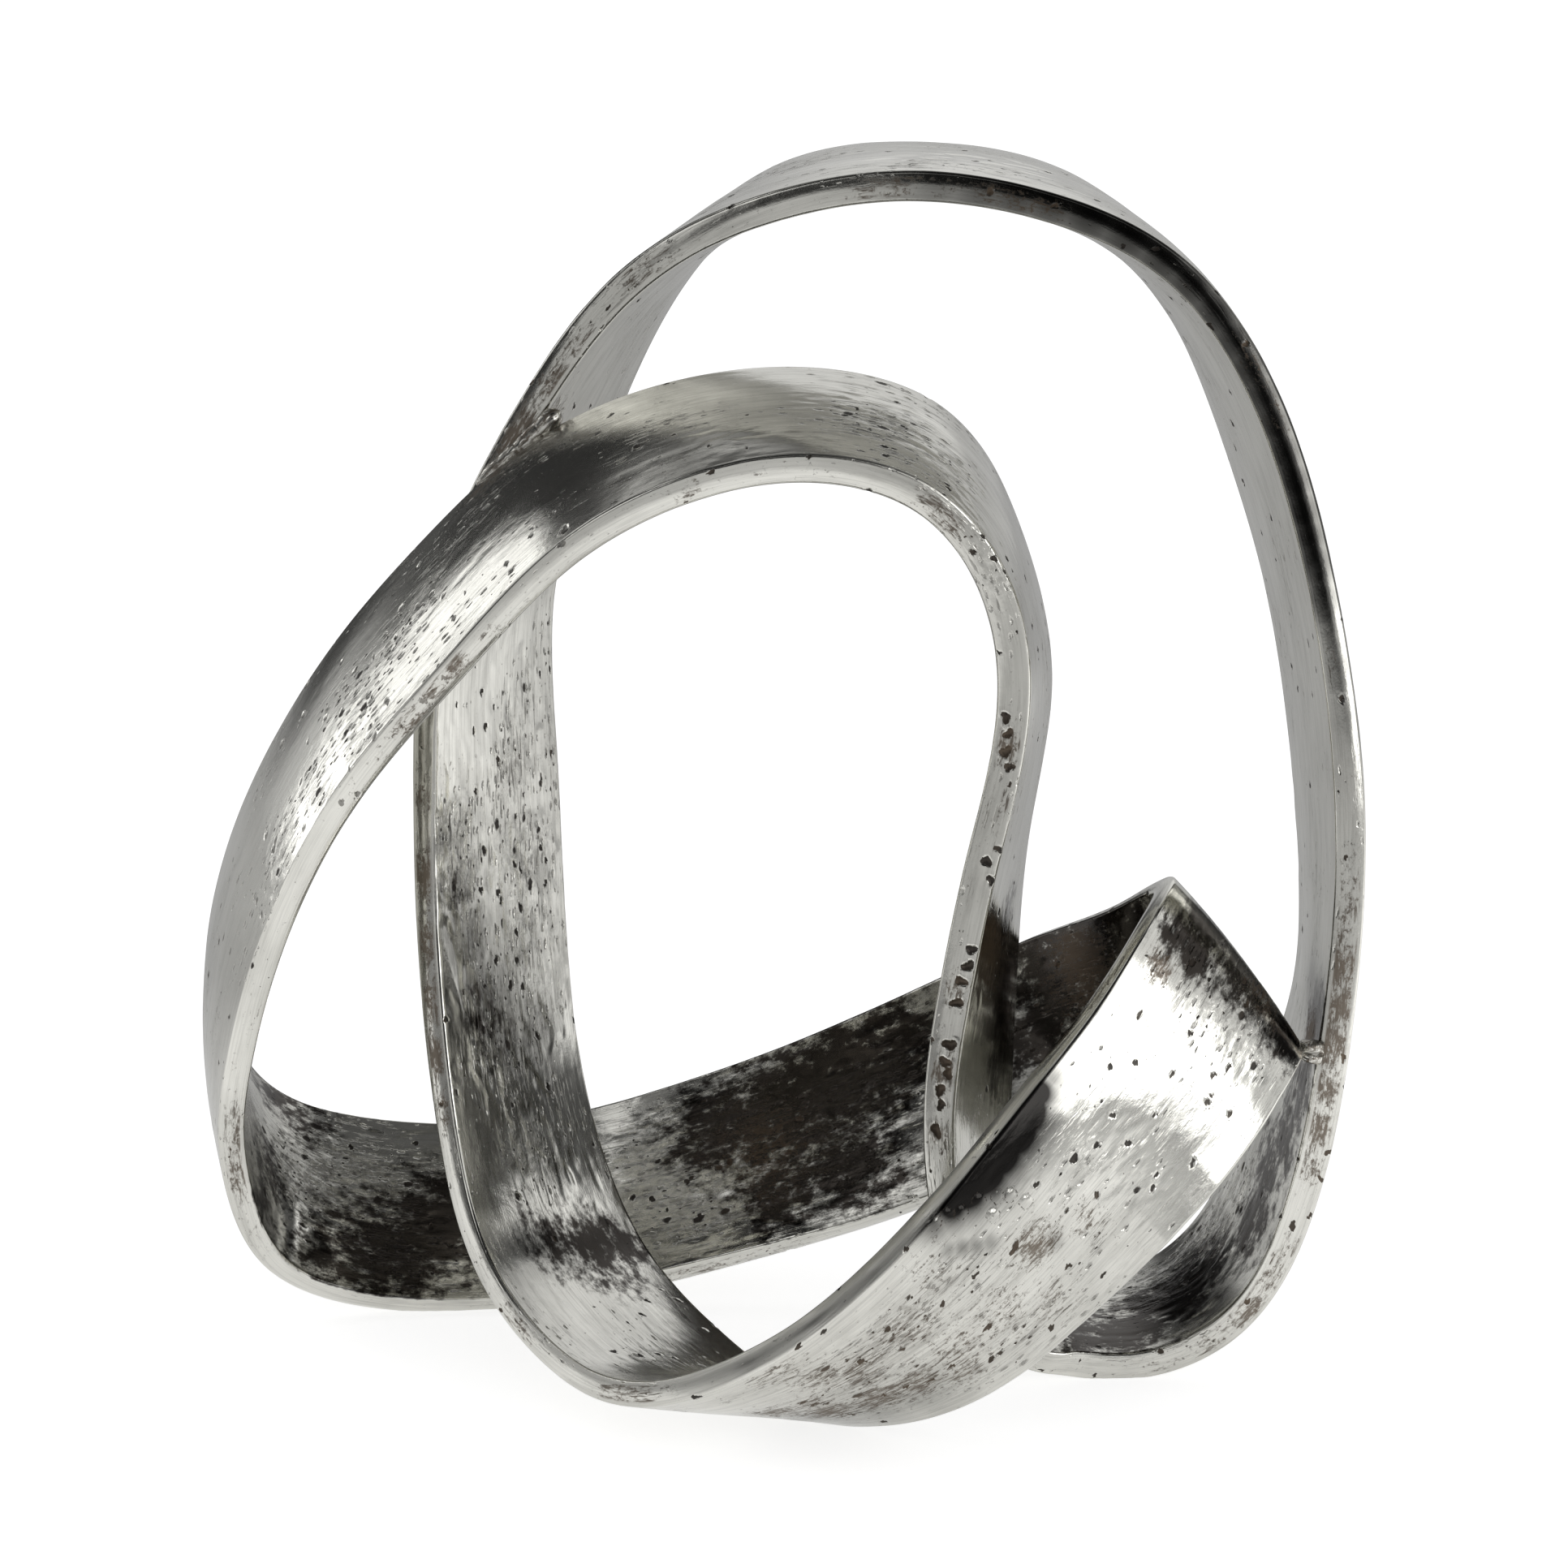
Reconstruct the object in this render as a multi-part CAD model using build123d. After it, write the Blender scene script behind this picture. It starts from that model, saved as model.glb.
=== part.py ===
from build123d import *
import os
import numpy as np

# Knot sculpture: one flat aluminium band, cast in lengths, welded end to end into a closed knot.
# Millimetres, +Z up, origin on the table under the middle of the knot, viewer on the -Y side.

# Band section: thickest in the middle, with crowned faces
BAND_WIDTH = 53.0
BAND_THICKNESS = 9.0
FACE_CROWN = 1.0
EDGE_RADIUS = 1.4

# Butt welds between the castings: double-V groove, ground flush
GROOVE_ROOT = 1.2
GROOVE_HALF_ANGLE = 30.0

# Fillet welds where the band leans on itself
ARCH_WELD_RADIUS = 4.5
ARCH_WELD_LENGTH = 34.0
ARCH_WELD_OFFSET = 8.0
FOLD_WELD_RADIUS = 4.5
FOLD_WELD_LENGTH = 9.0

# Depth ground off the highest foot so that all three feet stand flat
FOOT_FLAT = 0.7

# Spacing of the sections that each casting is drawn through, and the spare length that its ends are cut from
SECTION_STEP = 9.0
SPARE_LENGTH = 10.0

# Route of the band: middle of the section, then the way its width points.
# One lap turns the width over, so the band closes on itself with one face and one edge.
ROUTE = [
    # outer arch, crown and left side
    ((36, 60, 288), (1, 52, -3)),
    ((-2, 62, 283), (2, 52, -2)),
    ((-34, 62, 259), (7, 51, -8)),
    ((-57, 61, 220), (16, 49, -10)),
    ((-71, 58, 187), (22, 46, -9)),
    # drop to the front
    ((-74, 54, 141), (28, 43, -8)),
    ((-72, 44, 93), (30, 42, -9)),
    ((-66, 29, 53), (32, 40, -10)),
    ((-55, 10, 27), (36, 36, -9)),
    # front foot
    ((-37, -15, 13), (38, 35, -8)),
    ((-12, -45, 11), (37, 32, -15)),
    ((11, -57, 20), (31, 31, -25)),
    # front sweep
    ((39, -57, 37), (29, 22, -37)),
    ((70, -44, 66), (32, 13, -39)),
    ((93, -28, 89), (35, 6, -38)),
    # fold
    ((104, -14, 102), (34, 2, -39)),
    ((107, -2, 104), (31, -3, -41)),
    ((99, 12, 95), (27, -12, -42)),
    ((71, 46, 72), (20, -24, -41)),
    # back band
    ((20, 64, 44), (15, -33, -37)),
    ((-18, 69, 29), (9, -38, -34)),
    ((-58, 68, 19), (7, -40, -32)),
    # left foot
    ((-95, 63, 19), (-1, -40, -33)),
    ((-125, 60, 28), (-2, -45, -27)),
    ((-138, 54, 47), (4, -50, -14)),
    # left arch
    ((-138, 45, 80), (8, -50, -14)),
    ((-124, 31, 126), (7, -49, -17)),
    ((-103, 20, 163), (4, -49, -20)),
    ((-80, 11, 192), (6, -49, -18)),
    ((-55, 9, 217), (9, -50, -13)),
    # inner arch
    ((-26, 10, 231), (9, -50, -11)),
    ((4, 13, 235), (4, -51, -11)),
    ((36, 16, 225), (-2, -51, -10)),
    ((53, 19, 198), (-3, -52, -6)),
    # inner leg
    ((58, 20, 165), (-8, -51, -1)),
    ((52, 19, 129), (-10, -51, 4)),
    ((47, 16, 91), (-14, -50, 7)),
    ((45, 10, 57), (-15, -50, 4)),
    ((49, 11, 29), (-6, -51, -5)),
    # right foot
    ((62, 20, 9), (5, -52, -4)),
    ((82, 23, 4), (5, -52, -1)),
    ((108, 23, 18), (4, -52, -4)),
    ((122, 22, 47), (5, -51, -5)),
    ((131, 22, 83), (2, -52, 1)),
    # outer arch, right side
    ((134, 25, 120), (2, -51, 7)),
    ((131, 30, 158), (4, -51, 9)),
    ((124, 37, 194), (4, -51, 12)),
    ((112, 45, 231), (4, -50, 12)),
    ((94, 51, 263), (-1, -50, 9)),
    ((67, 56, 282), (-3, -52, 3)),
]

# Castings in order along the route, each with the number of the route point that it starts from
CASTINGS = [
    ("outer_arch_left", 0),
    ("front_drop", 5),
    ("front_foot", 8),
    ("front_sweep", 11),
    ("fold", 14),
    ("back_band", 18),
    ("left_foot", 21),
    ("left_arch", 25),
    ("inner_arch", 30),
    ("inner_leg", 34),
    ("right_foot", 38),
    ("outer_arch_right", 44),
]

points = np.array([place for place, across in ROUTE], float)
widths = np.array([across for place, across in ROUTE], float)
widths /= np.linalg.norm(widths, axis=1)[:, None]
count = len(ROUTE)
steps = np.linalg.norm(np.roll(points, -1, axis=0) - points, axis=1)
marks = np.concatenate([[0.0], np.cumsum(steps)])
lap_length = marks[-1]


def closed_slopes(values, wrap):
    # slopes of the smooth closed curve through the values; wrap is -1 where a lap turns them over
    matrix = np.zeros((count, count))
    right = np.zeros((count, 3))
    for i in range(count):
        back = (i - 1) % count
        ahead = (i + 1) % count
        turn_back = wrap if i == 0 else 1.0
        turn_ahead = wrap if i == count - 1 else 1.0
        h_back = steps[back]
        h_ahead = steps[i]
        matrix[i, back] += turn_back * h_ahead
        matrix[i, i] += 2.0 * (h_back + h_ahead)
        matrix[i, ahead] += turn_ahead * h_back
        rise_back = (values[i] - turn_back * values[back]) * h_ahead / h_back
        rise_ahead = (turn_ahead * values[ahead] - values[i]) * h_back / h_ahead
        right[i] = 3.0 * (rise_back + rise_ahead)
    return np.linalg.solve(matrix, right)


point_slopes = closed_slopes(points, 1.0)
width_slopes = closed_slopes(widths, -1.0)


def band_axes(s):
    # middle of the section, run, width and face directions at the distance s along the route
    laps = int(np.floor(s / lap_length))
    s = s - laps * lap_length
    side = -1.0 if laps % 2 else 1.0
    i = min(int(np.searchsorted(marks, s, side="right")) - 1, count - 1)
    j = (i + 1) % count
    turn = -1.0 if i == count - 1 else 1.0
    h = steps[i]
    x = (s - marks[i]) / h
    start = 2 * x**3 - 3 * x**2 + 1
    leave = (x**3 - 2 * x**2 + x) * h
    end = 3 * x**2 - 2 * x**3
    arrive = (x**3 - x**2) * h
    middle = start * points[i] + leave * point_slopes[i] + end * points[j] + arrive * point_slopes[j]
    run = (points[j] - points[i]) * (6 * x - 6 * x**2) / h
    run = run + (3 * x**2 - 4 * x + 1) * point_slopes[i] + (3 * x**2 - 2 * x) * point_slopes[j]
    run = run / np.linalg.norm(run)
    width = start * widths[i] + leave * width_slopes[i] + turn * (end * widths[j] + arrive * width_slopes[j])
    width = width - (width @ run) * run
    width = side * width / np.linalg.norm(width)
    return middle, run, width, np.cross(run, width)


def section_reach(s):
    # outermost points of the section: its corners and the middle of its two faces
    middle, run, width, face = band_axes(s)
    half_w = width * BAND_WIDTH / 2
    half_t = face * BAND_THICKNESS / 2
    half_edge = face * (BAND_THICKNESS / 2 - FACE_CROWN)
    corners = [middle + i * half_w + j * half_edge for i in (-1, 1) for j in (-1, 1)]
    return corners + [middle - half_t, middle + half_t]


# Stand the band on the table: its middle over the origin, its three feet ground to one plane
stops = np.arange(0.0, lap_length, 2.0)
outline = np.array([section_reach(s) for s in stops])
low = outline[:, :, 2].min(axis=1)
feet = [("front_foot", 8, 13), ("left_foot", 20, 25), ("right_foot", 38, 43)]
foot_lows = [low[(stops > marks[a]) & (stops < marks[b])].min() for name, a, b in feet]
reach_x = outline[:, :, 0]
reach_y = outline[:, :, 1]
SHIFT = np.array([
    -(reach_x.min() + reach_x.max()) / 2,
    -(reach_y.min() + reach_y.max()) / 2,
    -max(foot_lows) - FOOT_FLAT,
])
points = points + SHIFT


def crowned_section():
    w = BAND_WIDTH / 2
    t = BAND_THICKNESS / 2
    edge = t - FACE_CROWN
    top = ThreePointArc((-w, edge), (0, t), (w, edge))
    bottom = ThreePointArc((w, -edge), (0, -t), (-w, -edge))
    sides = [Line((w, edge), (w, -edge)), Line((-w, -edge), (-w, edge))]
    outline_face = make_face([top, sides[0], bottom, sides[1]])
    return fillet(outline_face.vertices(), EDGE_RADIUS)


SECTION = crowned_section()


def section_at(s):
    middle, run, width, face = band_axes(s)
    plane = Plane(origin=tuple(middle), x_dir=tuple(width), z_dir=tuple(run))
    return plane * SECTION


def groove_prism(s, outline_points):
    # prism along the band's width, drawn in the run and face directions at s
    middle, run, width, face = band_axes(s)
    plane = Plane(origin=tuple(middle), x_dir=tuple(run), z_dir=tuple(width))
    profile = plane * make_face(Polyline(*outline_points, close=True))
    return extrude(profile, amount=BAND_WIDTH / 2 + 6.0, both=True)


root = GROOVE_ROOT / 2
tall = BAND_THICKNESS
mouth = root + tall * np.tan(np.radians(GROOVE_HALF_ANGLE))
off = SPARE_LENGTH + 14.0
GROOVE = [(-mouth, -tall), (mouth, -tall), (root, 0), (mouth, tall), (-mouth, tall), (-root, 0)]
CUT_TOP = [(root, 0), (mouth, tall), (root, 2 * tall), (-off, 2 * tall)]
CUT_START = CUT_TOP + [(x, -y) for x, y in CUT_TOP[:0:-1]]
CUT_END = [(-x, y) for x, y in CUT_START]


def band_length(s0, s1):
    # one length of the band, drawn through sections at an even spacing
    pieces = max(3, int(round((s1 - s0) / SECTION_STEP)))
    return loft([section_at(s0 + (s1 - s0) * k / pieces) for k in range(pieces + 1)])


# Castings and the butt weld at the start of each
names = [name for name, start in CASTINGS]
starts = [marks[start] for name, start in CASTINGS]
ends = starts[1:] + [lap_length]
parts = {}
table_cut = Box(600, 600, 60, align=(Align.CENTER, Align.CENTER, Align.MAX))
for name, s0, s1, before in zip(names, starts, ends, [names[-1]] + names[:-1]):
    whole = band_length(s0 - SPARE_LENGTH, s1 + SPARE_LENGTH)
    if whole.bounding_box().min.Z < 0:
        whole = whole - table_cut
    parts[name] = whole - groove_prism(s0, CUT_START) - groove_prism(s1, CUT_END)
    parts["weld_" + before + "_to_" + name] = whole & groove_prism(s0, GROOVE)


def edge_point(s, side):
    middle, run, width, face = band_axes(s)
    return middle + side * width * BAND_WIDTH / 2


def nearest(first, second):
    # closest pair of edge points: each given as its range along the route and its side
    best = None
    for s in np.arange(first[0], first[1], 1.0):
        for q in np.arange(second[0], second[1], 1.0):
            gap = np.linalg.norm(edge_point(s, first[2]) - edge_point(q, second[2]))
            if best is None or gap < best[0]:
                best = (gap, s, q)
    return best


def weld_bead(place, direction, radius, length):
    plane = Plane(origin=tuple(place), z_dir=tuple(direction))
    bar = plane * Cylinder(radius, length)
    bead = bar
    for end in (-1, 1):
        tip = place + end * direction * length / 2
        bead = bead + Pos(*tip) * Sphere(radius)
    return bead


# Crossing of the two arches: the outer arch's front edge rests behind the left arch's back edge
gap, s_outer, s_left = nearest((marks[2], marks[5], -1), (marks[27], marks[30], -1))
along = band_axes(s_left)[1] - band_axes(s_outer)[1]
along = along / np.linalg.norm(along)
place = (edge_point(s_outer, -1) + edge_point(s_left, -1)) / 2 + along * ARCH_WELD_OFFSET
parts["outer_arch_left"] = parts["outer_arch_left"] - parts["left_arch"]
bead = weld_bead(place, along, ARCH_WELD_RADIUS, ARCH_WELD_LENGTH)
parts["arch_crossing_weld"] = bead - parts["outer_arch_left"] - parts["left_arch"]

# Tip of the fold: it rests against the front corner of the right leg
gap, s_fold, s_leg = nearest((marks[15], marks[18], 1), (marks[42], marks[44], 1))
along = band_axes(s_leg)[1]
place = (edge_point(s_fold, 1) + edge_point(s_leg, 1)) / 2
parts["right_foot"] = parts["right_foot"] - parts["fold"]
bead = weld_bead(place, along, FOLD_WELD_RADIUS, FOLD_WELD_LENGTH)
parts["fold_tip_weld"] = bead - parts["right_foot"] - parts["fold"]

os.makedirs("parts", exist_ok=True)
for name, solid in parts.items():
    export_step(solid, os.path.join("parts", name + ".step"))
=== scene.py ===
import math

import bpy
import numpy as np
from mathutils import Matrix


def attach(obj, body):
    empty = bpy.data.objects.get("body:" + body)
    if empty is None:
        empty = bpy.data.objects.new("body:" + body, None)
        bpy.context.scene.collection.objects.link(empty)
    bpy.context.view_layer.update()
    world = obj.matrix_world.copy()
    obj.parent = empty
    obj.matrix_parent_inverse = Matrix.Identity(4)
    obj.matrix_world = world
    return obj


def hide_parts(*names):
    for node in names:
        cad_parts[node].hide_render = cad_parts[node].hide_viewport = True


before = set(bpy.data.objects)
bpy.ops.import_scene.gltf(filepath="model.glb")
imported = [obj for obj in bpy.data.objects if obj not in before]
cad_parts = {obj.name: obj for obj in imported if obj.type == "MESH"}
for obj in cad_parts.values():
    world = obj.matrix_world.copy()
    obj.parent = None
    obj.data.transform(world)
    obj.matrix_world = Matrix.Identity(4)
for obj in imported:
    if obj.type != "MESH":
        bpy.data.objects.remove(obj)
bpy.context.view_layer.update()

# Knot sculpture: one flat band of cast aluminium, welded into a closed knot from bent lengths.
# The band is worked out in millimetres, in the CAD frame, and written to the meshes in metres.
MM = 0.001
rng = np.random.default_rng(41)

# Band section and route, as in the CAD model
BAND_WIDTH = 53.0
BAND_THICKNESS = 9.0
FACE_CROWN = 1.0
FOOT_FLAT = 0.7
ROUTE = [
    # outer arch, crown and left side
    ((36, 60, 288), (1, 52, -3)),
    ((-2, 62, 283), (2, 52, -2)),
    ((-34, 62, 259), (7, 51, -8)),
    ((-57, 61, 220), (16, 49, -10)),
    ((-71, 58, 187), (22, 46, -9)),
    # drop to the front
    ((-74, 54, 141), (28, 43, -8)),
    ((-72, 44, 93), (30, 42, -9)),
    ((-66, 29, 53), (32, 40, -10)),
    ((-55, 10, 27), (36, 36, -9)),
    # front foot
    ((-37, -15, 13), (38, 35, -8)),
    ((-12, -45, 11), (37, 32, -15)),
    ((11, -57, 20), (31, 31, -25)),
    # front sweep
    ((39, -57, 37), (29, 22, -37)),
    ((70, -44, 66), (32, 13, -39)),
    ((93, -28, 89), (35, 6, -38)),
    # fold
    ((104, -14, 102), (34, 2, -39)),
    ((107, -2, 104), (31, -3, -41)),
    ((99, 12, 95), (27, -12, -42)),
    ((71, 46, 72), (20, -24, -41)),
    # back band
    ((20, 64, 44), (15, -33, -37)),
    ((-18, 69, 29), (9, -38, -34)),
    ((-58, 68, 19), (7, -40, -32)),
    # left foot
    ((-95, 63, 19), (-1, -40, -33)),
    ((-125, 60, 28), (-2, -45, -27)),
    ((-138, 54, 47), (4, -50, -14)),
    # left arch
    ((-138, 45, 80), (8, -50, -14)),
    ((-124, 31, 126), (7, -49, -17)),
    ((-103, 20, 163), (4, -49, -20)),
    ((-80, 11, 192), (6, -49, -18)),
    ((-55, 9, 217), (9, -50, -13)),
    # inner arch
    ((-26, 10, 231), (9, -50, -11)),
    ((4, 13, 235), (4, -51, -11)),
    ((36, 16, 225), (-2, -51, -10)),
    ((53, 19, 198), (-3, -52, -6)),
    # inner leg
    ((58, 20, 165), (-8, -51, -1)),
    ((52, 19, 129), (-10, -51, 4)),
    ((47, 16, 91), (-14, -50, 7)),
    ((45, 10, 57), (-15, -50, 4)),
    ((49, 11, 29), (-6, -51, -5)),
    # right foot
    ((62, 20, 9), (5, -52, -4)),
    ((82, 23, 4), (5, -52, -1)),
    ((108, 23, 18), (4, -52, -4)),
    ((122, 22, 47), (5, -51, -5)),
    ((131, 22, 83), (2, -52, 1)),
    # outer arch, right side
    ((134, 25, 120), (2, -51, 7)),
    ((131, 30, 158), (4, -51, 9)),
    ((124, 37, 194), (4, -51, 12)),
    ((112, 45, 231), (4, -50, 12)),
    ((94, 51, 263), (-1, -50, 9)),
    ((67, 56, 282), (-3, -52, 3)),
]
CASTINGS = [
    ("outer_arch_left", 0),
    ("front_drop", 5),
    ("front_foot", 8),
    ("front_sweep", 11),
    ("fold", 14),
    ("back_band", 18),
    ("left_foot", 21),
    ("left_arch", 25),
    ("inner_arch", 30),
    ("inner_leg", 34),
    ("right_foot", 38),
    ("outer_arch_right", 44),
]
FEET = [(8, 13), (20, 25), (38, 43)]

# Camera of the photograph: pixels of its 1932 x 1932 frame, millimetres of the route's frame
PHOTO = 1932
SENSOR = 36.0
FOCAL_PIXELS = 7216.5
VIEW_HEIGHT = 150.0
VIEW_DISTANCE = 1400.0
VIEW_ELEVATION = math.radians(15.0)

# Mesh of the cast surface
RING_STEP = 0.55
FACE_SPANS = 92
EDGE_SPANS = 12
CORNER_SPANS = 4
CORNER_RADIUS = 1.0
EDGE_CROWN = 0.35
SEAM_HALF_WIDTH = 3.2
EDGE_WAVES = 0.45
# Waves of the surface: length and height
WAVE_HEIGHTS = [(46.0, 0.42), (19.0, 0.17), (8.0, 0.045), (3.6, 0.010)]
# Crown of the faces across the width, height of the edges, shares of streaks and waves, at route points
FACE_CROWNS = [
    (0, 1.0), (8, 0.9), (12, 1.0), (16, 1.4), (20, 0.9), (24, 1.6), (26, 2.2), (29, 2.0), (33, 1.2),
    (46.5, 1.0), (48, 2.2), (49.2, 1.0), (50, 1.0),
]
EDGE_HEIGHTS = [
    (0, 7.6), (5, 7.0), (10, 6.4), (14, 6.6), (20, 7.0), (26, 6.6), (31, 7.6), (36, 8.4), (40, 7.4),
    (43, 8.0), (46, 6.8), (50, 7.6),
]
STREAK_SHARES = [
    (0, 0.8), (4, 1.0), (9, 1.0), (11, 0.8), (14, 0.6), (18, 1.0), (24, 0.8), (26, 0.30), (29, 0.35),
    (31, 0.9), (50, 0.8),
]
WAVE_SHARES = [
    (0, 1.0), (11, 1.0), (13, 1.7), (15, 1.3), (20, 1.1), (25, 0.55), (29, 0.4), (33, 0.8), (50, 1.0),
]
# Front sweep: its upper edge rolls back and its lower edge turns out, millimetres at route points
UPPER_ROLLS = [(0, 0.0), (11.2, 0.0), (12.2, 0.6), (13.2, 0.6), (13.8, 0.0), (50, 0.0)]
LOWER_TURNS = [(0, 0.0), (12.4, 0.0), (13.1, 3.0), (13.6, 2.4), (14.4, 0.0), (50, 0.0)]
# Front and back edge of the band lean along its face, millimetres at route points
FRONT_LEANS = [
    (0, -1.0), (1, 0.6), (2, 1.4), (3, 1.2), (3.7, 0.0), (25.5, 0.0), (26, 0.5), (29, 0.5), (30, 0.0),
    (39.5, 0.0), (41, 1.2), (42, 0.9), (43, 0.4), (44, 0.8), (45, 1.0), (46, 1.7), (47, 2.0), (48, 1.6),
    (49, -0.5), (50, -1.2),
]
BACK_LEANS = [
    (0, 1.2), (1, 1.2), (2, -1.4), (3, -1.6), (3.7, 0.0), (24.2, 0.0), (25, -1.6), (26, -2.0), (27, -2.2),
    (28, -1.1), (28.8, 0.0), (39.5, 0.0), (42, -0.2), (43, 0.5), (44, -1.6), (45, -1.2), (46, -0.4),
    (47, 0.0), (48, -0.8), (49, 0.5), (50, 1.0),
]
# Distance over which the leans and the crowns are made smooth
LEAN_EASE = 14.0
ROLL_WIDTH = 12.0
TURN_WIDTH = 24.0
SWEEP_SIDE = -1.0

# Route of the band
points = np.array([place for place, across in ROUTE], float)
widths = np.array([across for place, across in ROUTE], float)
widths /= np.linalg.norm(widths, axis=1)[:, None]
count = len(ROUTE)
steps = np.linalg.norm(np.roll(points, -1, axis=0) - points, axis=1)
marks = np.concatenate([[0.0], np.cumsum(steps)])
lap_length = marks[-1]


def closed_slopes(values, wrap):
    # slopes of the smooth closed curve through the values; wrap is -1 where a lap turns them over
    turn_ahead = np.where(np.arange(count) == count - 1, wrap, 1.0)[:, None]
    turn_back = np.roll(turn_ahead, 1, axis=0)
    h_ahead = steps[:, None]
    h_back = np.roll(h_ahead, 1, axis=0)
    rise_back = (values - turn_back * np.roll(values, 1, axis=0)) * h_ahead / h_back
    rise_ahead = (turn_ahead * np.roll(values, -1, axis=0) - values) * h_back / h_ahead
    own = np.eye(count)
    matrix = 2.0 * (h_back + h_ahead) * own
    matrix += turn_back * h_ahead * np.roll(own, -1, axis=1)
    matrix += turn_ahead * h_back * np.roll(own, 1, axis=1)
    return np.linalg.solve(matrix, 3.0 * (rise_back + rise_ahead))


point_slopes = closed_slopes(points, 1.0)
width_slopes = closed_slopes(widths, -1.0)


def unit(vectors):
    return vectors / np.linalg.norm(vectors, axis=-1, keepdims=True)


def band_axes(s):
    # middle of the section, run, width and face directions at each distance along the route
    i = np.clip(np.searchsorted(marks, s, side="right") - 1, 0, count - 1)
    j = (i + 1) % count
    turn = np.where(i == count - 1, -1.0, 1.0)[:, None]
    h = steps[i][:, None]
    x = (s[:, None] - marks[i][:, None]) / h
    start = 2 * x**3 - 3 * x**2 + 1
    leave = (x**3 - 2 * x**2 + x) * h
    end = 3 * x**2 - 2 * x**3
    arrive = (x**3 - x**2) * h
    middle = start * points[i] + leave * point_slopes[i] + end * points[j] + arrive * point_slopes[j]
    run = (points[j] - points[i]) * (6 * x - 6 * x**2) / h
    run = unit(run + (3 * x**2 - 4 * x + 1) * point_slopes[i] + (3 * x**2 - 2 * x) * point_slopes[j])
    width = start * widths[i] + leave * width_slopes[i]
    width = width + turn * (end * widths[j] + arrive * width_slopes[j])
    width = unit(width - (width * run).sum(axis=1, keepdims=True) * run)
    return middle, run, width, np.cross(run, width)


# Stand the band on the table, as in the CAD model
stops = np.arange(0.0, lap_length, 2.0)
middle, run, width, face = band_axes(stops)
half_w = width * BAND_WIDTH / 2
half_t = face * BAND_THICKNESS / 2
half_edge = face * (BAND_THICKNESS / 2 - FACE_CROWN)
corners = [middle + i * half_w + j * half_edge for i in (-1, 1) for j in (-1, 1)]
outline = np.stack(corners + [middle - half_t, middle + half_t], axis=1)
low = outline[:, :, 2].min(axis=1)
foot_lows = [low[(stops > marks[a]) & (stops < marks[b])].min() for a, b in FEET]
reach_x = outline[:, :, 0]
reach_y = outline[:, :, 1]
shift = np.array([
    -(reach_x.min() + reach_x.max()) / 2,
    -(reach_y.min() + reach_y.max()) / 2,
    -max(foot_lows) - FOOT_FLAT,
])
points = points + shift

# Camera
aim = np.array([0.0, 0.0, VIEW_HEIGHT]) + shift
view_dir = np.array([0.0, math.cos(VIEW_ELEVATION), -math.sin(VIEW_ELEVATION)])
view_up = np.array([0.0, math.sin(VIEW_ELEVATION), math.cos(VIEW_ELEVATION)])
view_from = aim - VIEW_DISTANCE * view_dir


def photo_pixels(places):
    # pixel columns and rows in the photograph, and distances from the camera
    away = places - view_from
    depth = away @ view_dir
    column = PHOTO / 2 + FOCAL_PIXELS * away[..., 0] / depth
    row = PHOTO / 2 - FOCAL_PIXELS * (away @ view_up) / depth
    return column, row, depth


def gradient_noise(places, seed):
    # smooth seeded noise, about -0.7 to 0.7, with one swing to a unit of distance
    draw = np.random.default_rng(seed)
    order = draw.permutation(256)
    slopes = unit(draw.normal(size=(256, 3)))
    cell = np.floor(places).astype(np.int64)
    inside = places - cell
    fade = inside**3 * (inside * (inside * 6 - 15) + 10)
    total = np.zeros(places.shape[:-1])
    for near in np.ndindex(2, 2, 2):
        pick = order[(cell[..., 0] + near[0]) & 255]
        pick = order[(pick + cell[..., 1] + near[1]) & 255]
        pick = order[(pick + cell[..., 2] + near[2]) & 255]
        lean = (slopes[pick] * (inside - np.array(near))).sum(axis=-1)
        for axis in range(3):
            lean = lean * (fade[..., axis] if near[axis] else 1 - fade[..., axis])
        total += lean
    return total


def smooth(value, low, high):
    x = np.clip((value - low) / (high - low), 0.0, 1.0)
    return x * x * (3 - 2 * x)


# Section outline: for each point its share of the flat half sides and of the corner arc.
# The second half is the first one turned over, so that a lap closes on itself.
turns = np.radians(90.0 * np.arange(1, CORNER_SPANS) / CORNER_SPANS)
across = np.linspace(-1, 1, FACE_SPANS + 1)
down = np.linspace(1, -1, EDGE_SPANS + 1)
flat = np.ones_like
half_outline = np.concatenate([
    np.stack([across, flat(across), 0 * across, flat(across)], axis=1),
    np.stack([flat(turns), flat(turns), np.sin(turns), np.cos(turns)], axis=1),
    np.stack([flat(down), down, flat(down), 0 * down], axis=1),
    np.stack([flat(turns), -flat(turns), np.cos(turns), -np.sin(turns)], axis=1),
])
section = np.concatenate([half_outline, -half_outline])
flat_a, flat_t, arc_a, arc_t = section.T
ring_size = len(section)
half_ring = ring_size // 2
on_face = arc_a == 0
on_edge = arc_t == 0

# Rings of the whole lap
ring_count = int(round(lap_length / RING_STEP))
ring_s = np.arange(ring_count) * lap_length / ring_count
ring_step = lap_length / ring_count
grid = (ring_count, ring_size)
middle, run, width, face = band_axes(ring_s)


def along_route(values):
    stations, sizes = np.array(values, float).T
    return np.interp(ring_s, np.interp(stations, np.arange(count + 1), marks), sizes)[:, None]


def eased(values, turned_over):
    # values along the route made smooth; past each end of the lap the band has turned over
    spare = int(4 * LEAN_EASE / ring_step)
    weights = np.exp(-((np.arange(-spare, spare + 1) * ring_step / LEAN_EASE) ** 2))
    longer = np.concatenate([turned_over[-spare:], values, turned_over[:spare]])
    return np.convolve(longer, weights / weights.sum(), mode="valid")


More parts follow.
